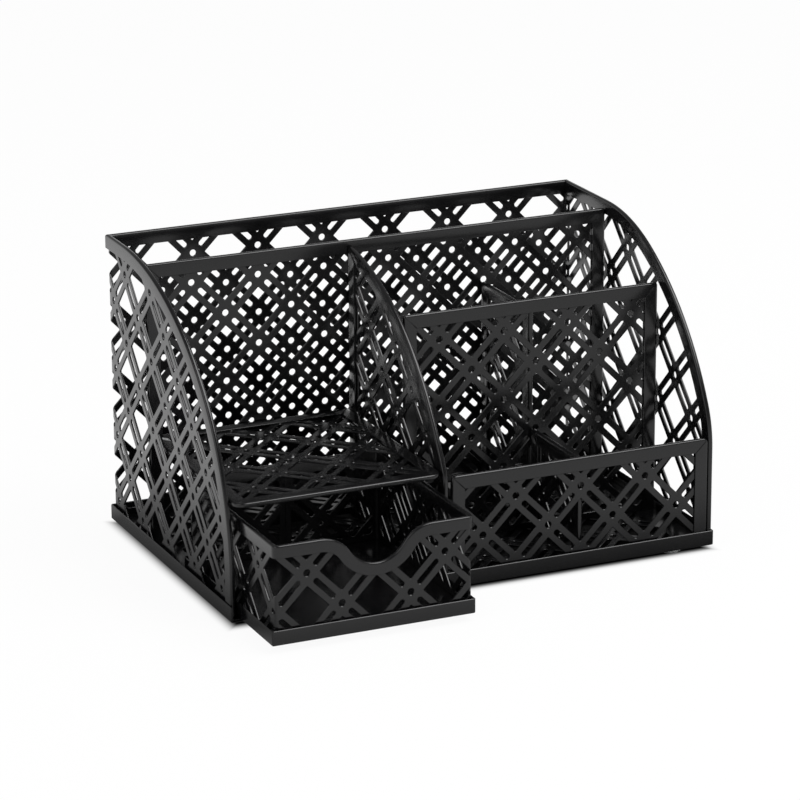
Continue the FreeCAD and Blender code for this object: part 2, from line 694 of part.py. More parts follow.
def corner_edging(label, centre, start, top):
    """A quarter turn of edging about an upright axis: its folded section revolved."""
    nose, wall = size("edging_nose"), size("edging_wall")
    outer = size("drawer_bend") + wall
    inner = outer - edging
    low = top - size("drawer_edging_width")
    section = [((inner, low), (inner, top - nose)),
               arc_about((inner + nose, top - nose), nose, math.pi, math.pi / 2),
               ((inner + nose, top), (outer - nose, top)),
               arc_about((outer - nose, top - nose), nose, math.pi / 2, 0),
               ((outer, top - nose), (outer, low)),
               ((outer, low), (outer - wall, low)),
               ((outer - wall, low), (outer - wall, top - wall)),
               ((outer - wall, top - wall), (inner + wall, top - wall)),
               ((inner + wall, top - wall), (inner + wall, low)),
               ((inner + wall, low), (inner, low))]
    face = document.addObject("Part::Feature", label + "_section")
    face.Shape = Part.Face(wire_of(section))
    turned = Rotation(Vector(0, 0, 1), math.degrees(start)).multiply(FACING_FRONT[1])
    face.Placement = Placement(Vector(centre[0], centre[1], 0), turned)
    quarter = document.addObject("Part::Revolution", label)
    quarter.Source = face
    quarter.Base = Vector(centre[0], centre[1], 0)
    quarter.Axis = Vector(0, 0, 1)
    quarter.Angle = 90
    quarter.Solid = True
    return quarter


def drawer_end(name, y, outward, path_at, top):
    """The front or back of the drawer: a punched sheet with a bend at each end, and its edging."""
    border, strip = size("sheet_border"), size("bend_border")
    shift = size("drawer_lattice_shift")
    left, right = drawer_x - drawer_flat_half, drawer_x + drawer_flat_half
    path = path_at(sheet_inset)
    low = drawer_floor_top
    outline = closed(path + [(path[-1][-1], (right, low)), ((right, low), (left, low))])
    path = path_at(sheet_inset + border)
    low += border
    left_end, right_end = left + strip, right - strip
    path[0] = ((left_end, path[0][0][1]), path[0][1])
    path[-1] = (path[-1][0], (right_end, path[-1][1][1]))
    window = closed(path + [(path[-1][-1], (right_end, low)), ((right_end, low), (left_end, low))])
    place = Vector(0, y, 0)
    flat_sheet(name + "_sheet", FACING_FRONT, place, outline, window,
               drawer_x + shift, size("drawer_lattice_up"))
    body = edging_body(name + "_edging_run", FACING_FRONT, place, path_at, size("drawer_edging_width"))
    pieces = [document.getObject(name + "_sheet")]
    edgings = [body]
    for side, x in (("left", left), ("right", right)):
        centre = (x, y - outward * drawer_bend)
        start = {("left", -1): math.pi, ("right", -1): 3 * math.pi / 2,
                 ("left", 1): math.pi / 2, ("right", 1): 0}[(side, outward)]
        pieces.append(corner_piece(name + "_bend_" + side, centre, start, drawer_bend - half_sheet,
                                   drawer_bend + half_sheet, drawer_floor_top, top - sheet_inset))
        edgings.append(corner_edging(name + "_edging_bend_" + side, centre, start, top))
    for label, parts in ((name, pieces), (name + "_edging", edgings)):
        whole = document.addObject("Part::MultiFuse", label)
        whole.Shapes = parts


def drawer():
    """The drawer: a pan with its floor, four punched walls and the edging along their top."""
    top = size("drawer_top")
    front = drawer_front + drawer_wall_inset
    back = drawer_back - drawer_wall_inset
    left, right = drawer_x - drawer_flat_half, drawer_x + drawer_flat_half
    pan("drawer_pan", drawer_left, drawer_right, drawer_front, drawer_back, drawer_bottom,
        "Sizes.drawer_rim_height", size("drawer_flange"))
    plain_floor("drawer_floor", drawer_left, drawer_right, drawer_front, drawer_back,
                drawer_bottom + size("pan_sheet"))
    drawer_end("drawer_front", front, -1, lambda inset: scooped(left, right, top, inset), top)
    drawer_end("drawer_back", back, 1, lambda inset: [((left, top - inset), (right, top - inset))], top)
    near, far = front + drawer_bend, back - drawer_bend
    border, strip = size("sheet_border"), size("bend_border")
    bend_length = drawer_bend * math.pi / 2
    for name, side in (("left", -1), ("right", 1)):
        across = near - bend_length - drawer_flat_half - side * size("drawer_lattice_shift")
        outline = rectangle(near, far, drawer_floor_top, top - sheet_inset)
        window = rectangle(near + strip, far - strip, drawer_floor_top + border, top - sheet_inset - border)
        place = Vector(drawer_x + side * drawer_wall_half, 0, 0)
        flat_sheet("drawer_%s_side" % name, FACING_SIDE, place, outline, window,
                   across, size("drawer_lattice_up"))
        straight_edging("drawer_%s_edging" % name, place + Vector(0, 0, top), -far, -near, "XZ_Plane",
                        size("drawer_edging_width"))


def base():
    """The pan that everything stands in, its punched floor and the feet."""
    notch = (-half_width + size("pan_sheet"), centre_x - half_edging)
    pan("base_pan", -half_width, half_width, -half_depth, half_depth, size("foot_height"),
        "Sizes.rim_height", size("flange_width"), notch)
    pan_floor("base_floor", -half_width, half_width, -half_depth, half_depth,
              (floor_bottom + floor_top) / 2, size("flange_width"), 0.0, 0.0)
    feet()


NODES = (
    ["base_pan", "base_floor"]
    + ["foot_" + place for place in ("front_left", "front_right", "rear_left", "rear_right")]
    + [wall + part for wall in ("back_wall", "left_wall", "right_wall") for part in ("", "_edging")]
    + [name + part for name in ("rear_divider", "front_divider", "centre_divider", "front_panel",
                                "rear_cross_divider", "front_cross_divider", "drawer_shelf")
       for part in ("", "_edging")]
    + ["drawer_pan", "drawer_floor"]
    + ["drawer_" + side + part for side in ("front", "back") for part in ("", "_edging")]
    + ["drawer_%s_%s" % (side, part) for side in ("left", "right") for part in ("side", "edging")]
)


def main():
    """Build every piece, check it and write it out."""
    base()
    outer_walls()
    dividers()
    shelf()
    drawer()
    document.recompute()
    moved_back = Placement(Vector(0, size("drawer_out") / 2, 0), Rotation())
    for name in NODES:
        node = document.getObject(name)
        node.Label = name
        node.Placement = moved_back.multiply(node.Placement)
    document.recompute()
    for item in document.Objects:
        if "Invalid" in item.State or "Error" in item.State:
            raise ValueError("%s failed to build: %s" % (item.Name, item.State))
    for name in NODES:
        shape = document.getObject(name).Shape
        if shape.isNull() or not shape.isValid() or not shape.Solids:
            raise ValueError(name + " has no valid solid")
    os.makedirs("parts", exist_ok=True)
    for name in NODES:
        document.getObject(name).Shape.exportStep("parts/%s.step" % name)
    print("%d pieces written" % len(NODES))


main()
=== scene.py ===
import math
from collections import namedtuple

import bmesh
import bpy
from bpy.props import FloatProperty, FloatVectorProperty, PointerProperty
from mathutils import Matrix, Vector


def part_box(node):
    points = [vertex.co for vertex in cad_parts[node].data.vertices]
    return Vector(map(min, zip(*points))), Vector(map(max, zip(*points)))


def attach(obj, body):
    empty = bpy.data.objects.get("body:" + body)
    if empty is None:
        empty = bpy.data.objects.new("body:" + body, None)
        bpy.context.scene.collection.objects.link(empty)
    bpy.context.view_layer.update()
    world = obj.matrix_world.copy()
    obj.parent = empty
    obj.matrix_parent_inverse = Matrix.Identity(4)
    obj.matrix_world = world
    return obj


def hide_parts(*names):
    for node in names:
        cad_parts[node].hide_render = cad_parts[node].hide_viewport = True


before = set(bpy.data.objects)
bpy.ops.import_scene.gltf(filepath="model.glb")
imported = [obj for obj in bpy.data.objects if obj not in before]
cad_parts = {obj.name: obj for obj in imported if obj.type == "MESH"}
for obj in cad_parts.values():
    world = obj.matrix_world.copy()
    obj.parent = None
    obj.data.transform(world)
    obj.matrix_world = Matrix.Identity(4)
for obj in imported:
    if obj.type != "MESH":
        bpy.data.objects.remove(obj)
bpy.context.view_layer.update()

bl_info = {
    "name": "Pen Stand with Drawer",
    "version": (1, 0, 0),
    "blender": (4, 5, 0),
    "location": "View3D > Sidebar > Pen Stand",
    "description": "Dresses a punched steel pen stand: lattice sheets, folded edgings, pans and feet",
    "category": "Add Mesh",
}

# Shapes are drawn in millimetres and brought to metres at the end
MM = 0.001

# Vertices closer than this are merged
MERGE = 1e-4
# Points of an outline, or of a folded mesh, closer than this are one point
NEAR = 1e-3
# Vertices this close to a level lie on it
SAME_LEVEL = 1e-5
# An outline that turns by less than this runs straight on
STRAIGHT = math.radians(0.3)
# Faces that meet at more than this have a sharp edge between them
STEEL_CREASE = math.radians(35)
FOOT_CREASE = math.radians(50)

# The pans: their flanges, their corners in plan and the fold along the bottom
PAN_FLANGE = 12.4
TRAY_FLANGE = 6.0
PAN_CORNER = 0.8
PAN_FOLD = 0.5
CORNER_STEPS = 5
FOLD_STEPS = 3
# The front of the pan's rim lies within this of the pan's front
RIM_FRONT = 2.0

# A foot's dome, as shares of its radius and of its height, from the top down
DOME_SHARES = ((1.0, 1.0), (1.0, 0.93), (0.985, 0.78), (0.95, 0.55), (0.89, 0.33), (0.8, 0.15),
               (0.69, 0.04), (0.56, 0.0))
FOOT_SIDES = 40

# How a sheet falls to its front in three arcs: from the front to the centre of the upper arc,
# from the top to the centre of the lower arc, and the three radii
Curve = namedtuple("Curve", "run drop upper middle lower")
LEFT_CURVE = Curve(117.9, 109.1, 125.9, 166.4, 104.4)
RIGHT_CURVE = Curve(98.3, 84.9, 84.6, 127.0, 42.5)
CENTRE_CURVE = Curve(111.7, 78.8, 118.0, 206.0, 14.0)
# The centre divider's curve would end at this level, but its rear leg cuts it short
CENTRE_TOP = 124.9

# The outer wall's bends at the back, and the plain strip just past the right one, where the
# lattice of the back ends and that of the right wall begins
WALL_BEND = 1.6
SEAM_PAST_BEND = 1.6
SEAM_HALF = 0.5
# The gap between two edgings that are cut at 45 degrees
JOINT_GAP = 0.06

# The corners of the edgings, and how far the line across one reaches, as a share of its width
CORNERS = {"rear_divider": 1.2, "front_divider": 1.2, "front_panel": 2.2}
CROSS_CORNER = 1.2
SHELF_FRONT_CORNER = 5.0
SHELF_BACK_CORNER = 1.0
MITRE_REACH_SHARE = 1.45
# The way of that line at the centre divider's blunt rear corner
CENTRE_MITRE_WAY = (-1, -0.75)

# One crossing of each sheet's lattice, along the sheet and up. Those that lie along the depth
# were measured from the pan's middle.
PAN_MIDDLE = 17.0
BACK_CROSSING = (-10.2, 117.0)
LEFT_CROSSING_DEPTH = 34.0 + PAN_MIDDLE
RIGHT_CROSSING = (-36.7 + PAN_MIDDLE, 68.3)
CENTRE_CROSSING = (-21.0 + PAN_MIDDLE, 93.1)
FACING_CROSSINGS = {"rear_divider": (-56.3, 116.0), "front_divider": (4.5, 93.1),
                    "front_panel": (17.4, 37.2)}
CROSS_DIVIDER_LEVELS = {"rear_cross_divider": 86.5, "front_cross_divider": 34.4}
# The back's lattice keeps its pitch for this many pitches to the left of its crossing, and from
# there this many are fitted in to reach the left wall's crossing
KEPT_PITCHES = 2
BEND_PITCHES = 2.5
# The drawer's crossing lies this far right of the middle, on its front and on its back
DRAWER_CROSSING_SHIFT = 0.8
DRAWER_CROSSING_LEVEL = 31.5
# Half of the plain strip at the back of the drawer, where its wall's ends meet
DRAWER_SEAM_HALF = 2.4

# Sides of the punched shapes
HOLE_SIDES = 16
SLOT_SIDES = 12
# Crossings are laid this many pitches past a window, because a warp may pull them in
OVERRUN_PITCHES = 1.5
# What a window's edge leaves of an opening is punched if it is larger than this share of the
# square of the round hole's diameter
SLIVER_SHARE = 1 / 8

# The floor's half width, in metres, and the sensor that the lens is given for, in millimetres
FLOOR_REACH = 30
SENSOR = 36.0


def mm(length):
    """A length in metres, in millimetres."""
    return length / MM


def box_of(node):
    """The lowest and highest corner of a CAD node, in millimetres."""
    low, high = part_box(node)
    return low / MM, high / MM


# Outlines. A path is a function that gives its points, moved inwards by a distance.
# It gives the same number of points at every distance, so that its rings can be swept.

def heading(angle):
    """The unit vector at an angle."""
    return Vector((math.cos(angle), math.sin(angle)))


def turn(centre, radius, start, end, steps, inset=0.0, hollow=False):
    """Points round an arc. Where the inset eats the radius up, they stay on the mitre line."""
    angles = [start + (end - start) * step / steps for step in range(steps + 1)]
    left = radius + inset if hollow else radius - inset
    if left >= 0:
        return [Vector(centre) + heading(angle) * left for angle in angles]
    first, last = heading(start), heading(end)
    tip = Vector(centre) + (first + last) * (left / (1 + first.dot(last)))
    return [tip.copy() for _ in angles]


def arch(left, right, bottom, top, radius, steps=8):
    """Up the left, over the top with rounded corners, and down the right."""
    def points(inset):
        return ([Vector((left + inset, bottom))]
                + turn((left + radius, top - radius), radius, math.pi, math.pi / 2, steps, inset)
                + turn((right - radius, top - radius), radius, math.pi / 2, 0, steps, inset)
                + [Vector((right - inset, bottom))])
    return points


def falling(front, back, bottom, top, curve, leg, steps=14):
    """Up the front, round three tangent arcs and back along the top, or down a rear leg."""
    high_centre = Vector((front + curve.run, top - curve.upper))
    low_centre = Vector((front + curve.lower, top - curve.drop))
    to_upper, to_lower = curve.middle - curve.upper, curve.middle - curve.lower
    span = (high_centre - low_centre).length
    along = (span ** 2 + to_upper ** 2 - to_lower ** 2) / (2 * span)
    across = math.sqrt(to_upper ** 2 - along ** 2)
    unit = (low_centre - high_centre) / span
    mid_centre = high_centre + unit * along + Vector((-unit.y, unit.x)) * across
    to_low, to_high = low_centre - mid_centre, high_centre - mid_centre
    low_turn = math.atan2(to_low.y, to_low.x)
    high_turn = math.atan2(to_high.y, to_high.x)

    def points(inset):
        end = back - inset if leg else back
        stop = math.acos(min(0, (end - high_centre.x) / (curve.upper - inset)))
        path = [Vector((front + inset, bottom))]
        path += turn(low_centre, curve.lower, math.pi, low_turn, steps, inset)
        path += turn(mid_centre, curve.middle, low_turn, high_turn, steps, inset)[1:]
        path += turn(high_centre, curve.upper, high_turn, stop, steps, inset)[1:]
        if leg:
            return path + [Vector((end, bottom))]
        return path + [Vector((back, top - inset))]
    return points


def ring(left, right, front, back, front_corner, back_corner, steps=6):
    """A closed outline with one corner size at the front and one at the back."""
    corners = ((left + front_corner, front + front_corner, front_corner),
               (right - front_corner, front + front_corner, front_corner),
               (right - back_corner, back - back_corner, back_corner),
               (left + back_corner, back - back_corner, back_corner))
    quarter = math.pi / 2

    def points(inset):
        path = []
        for (x, y, radius), start in zip(corners, (2, 3, 0, 1)):
            path += turn((x, y), radius, start * quarter, (start + 1) * quarter, steps, inset)
        return path
    return points


def rectangle(left, right, bottom, top):
    """The four corners of a rectangle."""
    return [Vector((left, bottom)), Vector((right, bottom)), Vector((right, top)), Vector((left, top))]


def distinct(points):
    """A closed outline without its repeated points."""
    return [point for point, before in zip(points, points[-1:] + points[:-1])
            if (point - before).length > NEAR]


def raised(points, low):
    """A path's points with its two feet raised."""
    return [Vector((points[0].x, low))] + points[1:-1] + [Vector((points[-1].x, low))]


# Meshes

def everything(mesh):
    """All the geometry of a mesh, as the operators take it."""
    return mesh.verts[:] + mesh.edges[:] + mesh.faces[:]


def made_of(kind, parts):
    """The parts of one kind, such as vertices, among those an operator returns."""
    return [part for part in parts if isinstance(part, kind)]


def pour(source, target):
    """Move the geometry of one mesh into another."""
    loose = bpy.data.meshes.new("loose")
    source.to_mesh(loose)
    source.free()
    target.from_mesh(loose)
    bpy.data.meshes.remove(loose)


def cut_at(mesh, x):
    """Cut a mesh through along an upright line."""
    bmesh.ops.bisect_plane(mesh, geom=everything(mesh), plane_co=(x, 0, 0), plane_no=(1, 0, 0))


# Sweeping folded steel along a path

def swept(points_at, section, closed):
    """Draw a path's line from ring to ring of a section, which gives each ring's inset and level."""
    mesh = bmesh.new()
    place = mesh.verts.layers.int.new("place")
    start = points_at(section[0][0])
    line = []
    for number, point in enumerate(start):
        corner = mesh.verts.new((point.x, point.y, section[0][1]))
        corner[place] = number
        line.append(corner)
    pairs = zip(line, line[1:] + line[:1]) if closed else zip(line, line[1:])
    edges = [mesh.edges.new(pair) for pair in pairs]
    for inset, level in section[1:] + section[:1]:
        made = bmesh.ops.extrude_edge_only(mesh, edges=edges)["geom"]
        edges = made_of(bmesh.types.BMEdge, made)
        points = points_at(inset)
        for corner in made_of(bmesh.types.BMVert, made):
            point = points[corner[place]]
            corner.co = (point.x, point.y, level)
    bmesh.ops.remove_doubles(mesh, verts=mesh.verts, dist=MERGE)
    bmesh.ops.holes_fill(mesh, edges=[edge for edge in mesh.edges if edge.is_boundary], sides=0)
    bmesh.ops.recalc_face_normals(mesh, faces=mesh.faces)
    return mesh


def edging_section(width, steps=4):
    """The section of a folded edging: two legs, a channel for the sheet and a rounded nose."""
    folds = bpy.context.scene.stand_edging
    wall, nose, ease = mm(folds.steel), mm(folds.nose), mm(folds.ease)
    half_sheet = mm(bpy.context.scene.stand_lattice.sheet) / 2
    half = half_sheet + wall
    round_one = [heading(math.pi / 2 * step / steps) for step in range(steps + 1)]
    over = [(nose - nose * way.y, half - nose + nose * way.x) for way in round_one]
    back = [(inset, -level) for inset, level in reversed(over)]
    return ([(width - ease, half)] + over + back
            + [(width - ease, -half), (width, -half + ease), (width, -half_sheet), (wall, -half_sheet),
               (wall, half_sheet), (width, half_sheet), (width, half - ease)])


def mitre_line(mesh, corner, inward, half, width):
    """Sink a fine groove across the two legs of an edging, where its ends meet at a corner."""
    folds = bpy.context.scene.stand_edging
    spread, depth = mm(folds.mitre_width) / 2, mm(folds.mitre_depth)
    reach = width * MITRE_REACH_SHARE
    along = Vector((inward[0], inward[1], 0)).normalized()
    across = Vector((-along.y, along.x, 0))
    start = Vector((corner[0], corner[1], 0))
    for offset in (-spread, 0.0, spread):
        bmesh.ops.bisect_plane(mesh, geom=everything(mesh), plane_co=start + across * offset,
                               plane_no=across)
    for point in mesh.verts:
        away = Vector((point.co.x, point.co.y, 0)) - start
        on_line = abs(away.dot(across)) < spread / 4 and away.length < reach
        if on_line and abs(abs(point.co.z) - half) < NEAR:
            point.co.z -= math.copysign(depth, point.co.z)


def rounded_fold(level):
    """The section of a pan's bottom fold, from under its flange to its rim."""
    angles = [math.pi / 2 * step / FOLD_STEPS for step in range(FOLD_STEPS, -1, -1)]
    return [(PAN_FOLD - PAN_FOLD * math.cos(angle), level + (PAN_FOLD - PAN_FOLD * math.sin(angle)))
            for angle in angles]


def rim_top(top):
    """The section of the top of a pan's rim, with its edges eased."""
    steel, ease = mm(bpy.context.scene.stand_lattice.pan_sheet), mm(bpy.context.scene.stand_lattice.ease)
    return [(0, top - ease), (ease, top), (steel - ease, top), (steel, top - ease)]


def flange_end(flange, level):
    """The section of a flange's free end, from its upper face to its lower one."""
    steel, ease = mm(bpy.context.scene.stand_lattice.pan_sheet), mm(bpy.context.scene.stand_lattice.ease)
    return [(flange - ease, level + steel), (flange, level + steel - ease), (flange, level + ease),
            (flange - ease, level)]


# The punched lattice

def crossing(ease):
    """The openings that belong to one crossing, drawn about it and wider by the eased edge."""
    sizes = bpy.context.scene.stand_lattice
    pitch, radius = mm(sizes.pitch), mm(sizes.slot) / 2
    diamond = pitch / 2 - 2 * radius / math.sqrt(2) - math.sqrt(2) * mm(sizes.bar)
    step = pitch / math.sqrt(2) / 2
    reach = step - mm(sizes.slot_start) - radius
    half_side = math.pi / SLOT_SIDES
    mesh = bmesh.new()
    bmesh.ops.create_circle(mesh, cap_ends=True, segments=HOLE_SIDES, radius=mm(sizes.hole) / 2 + ease)
    # A slot is a circle whose halves are pulled apart
    for angle in (math.pi / 4, -math.pi / 4):
        made = bmesh.ops.create_circle(mesh, cap_ends=True, segments=SLOT_SIDES, radius=radius + ease,
                                       matrix=Matrix.Rotation(half_side, 4, "Z"))["verts"]
        for corner in made:
            corner.co.x += math.copysign(reach, corner.co.x)
            corner.co.y /= math.cos(half_side)
        bmesh.ops.translate(mesh, verts=made, vec=(step, 0, 0))
        bmesh.ops.rotate(mesh, verts=made, matrix=Matrix.Rotation(angle, 3, "Z"))
    made = bmesh.ops.create_circle(mesh, cap_ends=True, segments=4,
                                   radius=diamond + ease * math.sqrt(2))["verts"]
    bmesh.ops.translate(mesh, verts=made, vec=(pitch / 2, 0, 0))
    bmesh.ops.bevel(mesh, geom=made, affect="VERTICES", offset=mm(sizes.diamond_corner), segments=3,
                    profile=0.5, material=-1)
    cell = bpy.data.meshes.new("crossing")
    mesh.to_mesh(cell)
    mesh.free()
    return cell


def within(point, loop):
    """Whether a point lies inside a closed outline."""
    inside = False
    for a, b in zip(loop, loop[1:] + loop[:1]):
        if (a.y > point.y) != (b.y > point.y):
            if point.x < a.x + (b.x - a.x) * (point.y - a.y) / (b.y - a.y):
                inside = not inside
    return inside


def keep_within(mesh, loop):
    """Cut the openings along a closed outline and drop what lies outside it."""
    for a, b in zip(loop, loop[1:] + loop[:1]):
        near = [face for face in mesh.faces
                if min(corner.co.x for corner in face.verts) < max(a.x, b.x) + MERGE
                and max(corner.co.x for corner in face.verts) > min(a.x, b.x) - MERGE
                and min(corner.co.y for corner in face.verts) < max(a.y, b.y) + MERGE
                and max(corner.co.y for corner in face.verts) > min(a.y, b.y) - MERGE]
        # A dictionary lists each one once, in the mesh's own order
        edges = list(dict.fromkeys(edge for face in near for edge in face.edges))
        corners = list(dict.fromkeys(corner for face in near for corner in face.verts))
        bmesh.ops.bisect_plane(mesh, geom=corners + edges + near, plane_co=(a.x, a.y, 0),
                               plane_no=(b.y - a.y, a.x - b.x, 0))
    outside = [face for face in mesh.faces if not within(face.calc_center_median(), loop)]
    bmesh.ops.delete(mesh, geom=outside, context="FACES")
    seams = [edge for edge in mesh.edges if len(edge.link_faces) == 2]
    bmesh.ops.dissolve_edges(mesh, edges=seams, use_verts=False)
    bmesh.ops.dissolve_limit(mesh, angle_limit=STRAIGHT, verts=mesh.verts, edges=mesh.edges)


def openings(window, centre, ease, cell, warp=None):
    """The lattice's openings inside a window, as faces."""
    pitch = mm(bpy.context.scene.stand_lattice.pitch)
    left, right = min(point.x for point in window), max(point.x for point in window)
    low, high = min(point.y for point in window), max(point.y for point in window)
    mesh = bmesh.new()
    reach = pitch * OVERRUN_PITCHES
    for column in range(math.floor(2 * (left - reach - centre[0]) / pitch),
                        math.ceil(2 * (right + reach - centre[0]) / pitch) + 1):
        for row in range(math.floor(2 * (low - pitch - centre[1]) / pitch),
                         math.ceil(2 * (high + pitch - centre[1]) / pitch) + 1):
            if (column + row) % 2:
                continue
            before = len(mesh.verts)
            mesh.from_mesh(cell)
            mesh.verts.ensure_lookup_table()
            bmesh.ops.translate(mesh, verts=mesh.verts[before:],
                                vec=(centre[0] + column * pitch / 2, centre[1] + row * pitch / 2, 0))
    if warp:
        for corner in mesh.verts:
            corner.co.x = warp(corner.co.x)
    keep_within(mesh, window)
    bmesh.ops.remove_doubles(mesh, verts=mesh.verts, dist=ease / 4)
    least = mm(bpy.context.scene.stand_lattice.hole) ** 2 * SLIVER_SHARE
    slivers = [face for face in mesh.faces if face.calc_area() < least]
    bmesh.ops.delete(mesh, geom=slivers, context="FACES")
    return mesh


def rim_at(mesh, level):
    """The open edges that lie at a level."""
    return [edge for edge in mesh.edges if edge.is_boundary
            and all(abs(corner.co.z - level) < SAME_LEVEL for corner in edge.verts)]


def punched(outline, windows, thickness):
    """A flat punched sheet with eased edges. Each window gives its outline, lattice and warp."""
    ease = mm(bpy.context.scene.stand_lattice.ease)
    half = thickness / 2
    cell = crossing(ease)
    mesh = bmesh.new()
    for window, centre, warp in windows:
        pour(openings(window, centre, ease, cell, warp), mesh)
    bpy.data.meshes.remove(cell)
    for face in mesh.faces:
        if face.normal.z < 0:
            face.normal_flip()
    bmesh.ops.translate(mesh, verts=mesh.verts, vec=(0, 0, half))

    # The upper half of each opening: its eased edge, and its side down to the middle plane
    holes = mesh.faces[:]
    bmesh.ops.inset_individual(mesh, faces=holes, thickness=ease, depth=-ease, use_even_offset=True)
    sunk = bmesh.ops.extrude_face_region(mesh, geom=holes)["geom"]
    for corner in made_of(bmesh.types.BMVert, sunk):
        corner.co.z = 0
    bmesh.ops.delete(mesh, geom=made_of(bmesh.types.BMFace, sunk), context="FACES_ONLY")
    bmesh.ops.delete(mesh, geom=[face for face in holes if face.is_valid], context="FACES_ONLY")

    # The same round the sheet
    plate = mesh.faces.new([mesh.verts.new((point.x, point.y, half - ease)) for point in outline])
    plate.normal_update()
    if plate.normal.z < 0:
        plate.normal_flip()
    bmesh.ops.inset_individual(mesh, faces=[plate], thickness=ease, depth=ease, use_even_offset=True)
    bmesh.ops.delete(mesh, geom=[plate], context="FACES_ONLY")
    made = bmesh.ops.extrude_edge_only(mesh, edges=rim_at(mesh, half - ease))["geom"]
    for corner in made_of(bmesh.types.BMVert, made):
        corner.co.z = 0

    # The face between them, and the lower half
    bmesh.ops.triangle_fill(mesh, use_beauty=True, use_dissolve=False, edges=rim_at(mesh, half),
                            normal=(0, 0, 1))
    bmesh.ops.mirror(mesh, geom=everything(mesh), merge_dist=MERGE, axis="Z")
    bmesh.ops.remove_doubles(mesh, verts=mesh.verts, dist=MERGE)
    bmesh.ops.recalc_face_normals(mesh, faces=mesh.faces)
    return mesh


# How a flat strip is folded: where it starts along the strip and in plan, its first way, and
# its parts in turn, each a flat with its length or a bend with its radius
Run = namedtuple("Run", "start point way parts")
Stretch = namedtuple("Stretch", "begin end base way out radius")


def folded(mesh, run, steps=5):
    """Fold a flat mesh along upright lines, by quarter turns to the right."""
    lines, stretches = [], []
    reached = run.start
    point, way = Vector(run.point), Vector(run.way)
    for kind, length in run.parts:
        out = Vector((-way.y, way.x))
        if kind == "flat":
            stretches.append(Stretch(reached, reached + length, point.copy(), way.copy(), out, None))
            point = point + way * length
            reached += length
        else:
            arc = length * math.pi / 2
            base = point - out * length
            stretches.append(Stretch(reached, reached + arc, base, way.copy(), out, length))
            lines += [reached + arc * step / steps for step in range(steps + 1)]
            point = point + (way - out) * length
            way = Vector((way.y, -way.x))
            reached += arc
    for line in lines:
        cut_at(mesh, line)
    for corner in mesh.verts:
        along, level, off = corner.co
        part = next((one for one in stretches if along <= one.end), stretches[-1])
        if part.radius is None:
            place = part.base + part.way * (along - part.begin) + part.out * off
        else:
            angle = (along - part.begin) / part.radius
            outward = part.out * math.cos(angle) + part.way * math.sin(angle)
            place = part.base + outward * (part.radius + off)
        corner.co = (place.x, place.y, level)
    bmesh.ops.remove_doubles(mesh, verts=mesh.verts, dist=NEAR)
    bmesh.ops.recalc_face_normals(mesh, faces=mesh.faces)
    return mesh


# How drawn pieces stand: the columns are the ways of their first, second and third axis
FACING_FRONT = Matrix(((1, 0, 0), (0, 0, -1), (0, 1, 0)))
FACING_SIDE = Matrix(((0, 0, 1), (1, 0, 0), (0, 1, 0)))
LYING_FLAT = Matrix.Identity(3)
ORIGIN = (0, 0, 0)


def finished(mesh, name, nodes, material, body, facing, place, crease):
    """Bring a mesh to its place and size, and let it stand for its CAD nodes."""
    mesh.transform(Matrix.Translation(Vector(place)) @ facing.to_4x4())
    mesh.transform(Matrix.Diagonal((MM, MM, MM, 1)))
    data = bpy.data.meshes.new(name)
    for face in mesh.faces:
        face.smooth = True
    mesh.to_mesh(data)
    mesh.free()
    data.set_sharp_from_angle(angle=crease)
    data.materials.append(material)
    piece = bpy.data.objects.new(name, data)
    bpy.context.scene.collection.objects.link(piece)
    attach(piece, body)
    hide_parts(*nodes)


def steel_piece(mesh, name, nodes, body="cabinet", facing=LYING_FLAT, place=ORIGIN):
    """A finished piece of coated steel."""
    finished(mesh, name, nodes, powder_coat(), body, facing, place, STEEL_CREASE)


# Materials

def linear(colour):
    """An sRGB hex colour as linear light, with full cover."""
    channels = [int(colour[start:start + 2], 16) / 255 for start in (1, 3, 5)]
    return tuple(c / 12.92 if c <= 0.04045 else ((c + 0.055) / 1.055) ** 2.4 for c in channels) + (1.0,)


def node(tree, kind, settings=None, values=None, links=None):
    """Add a node with its settings, its socket values and the links into it."""
    made = tree.nodes.new(kind)
    for name, value in (settings or {}).items():
        setattr(made, name, value)
    for name, value in (values or {}).items():
        made.inputs[name].default_value = value
    for name, source in (links or {}).items():
        tree.links.new(source, made.inputs[name])
    return made


def new_material(name):
    """A material with an empty node tree."""
    material = bpy.data.materials.new(name)
    material.use_nodes = True
    material.node_tree.nodes.clear()
    return material


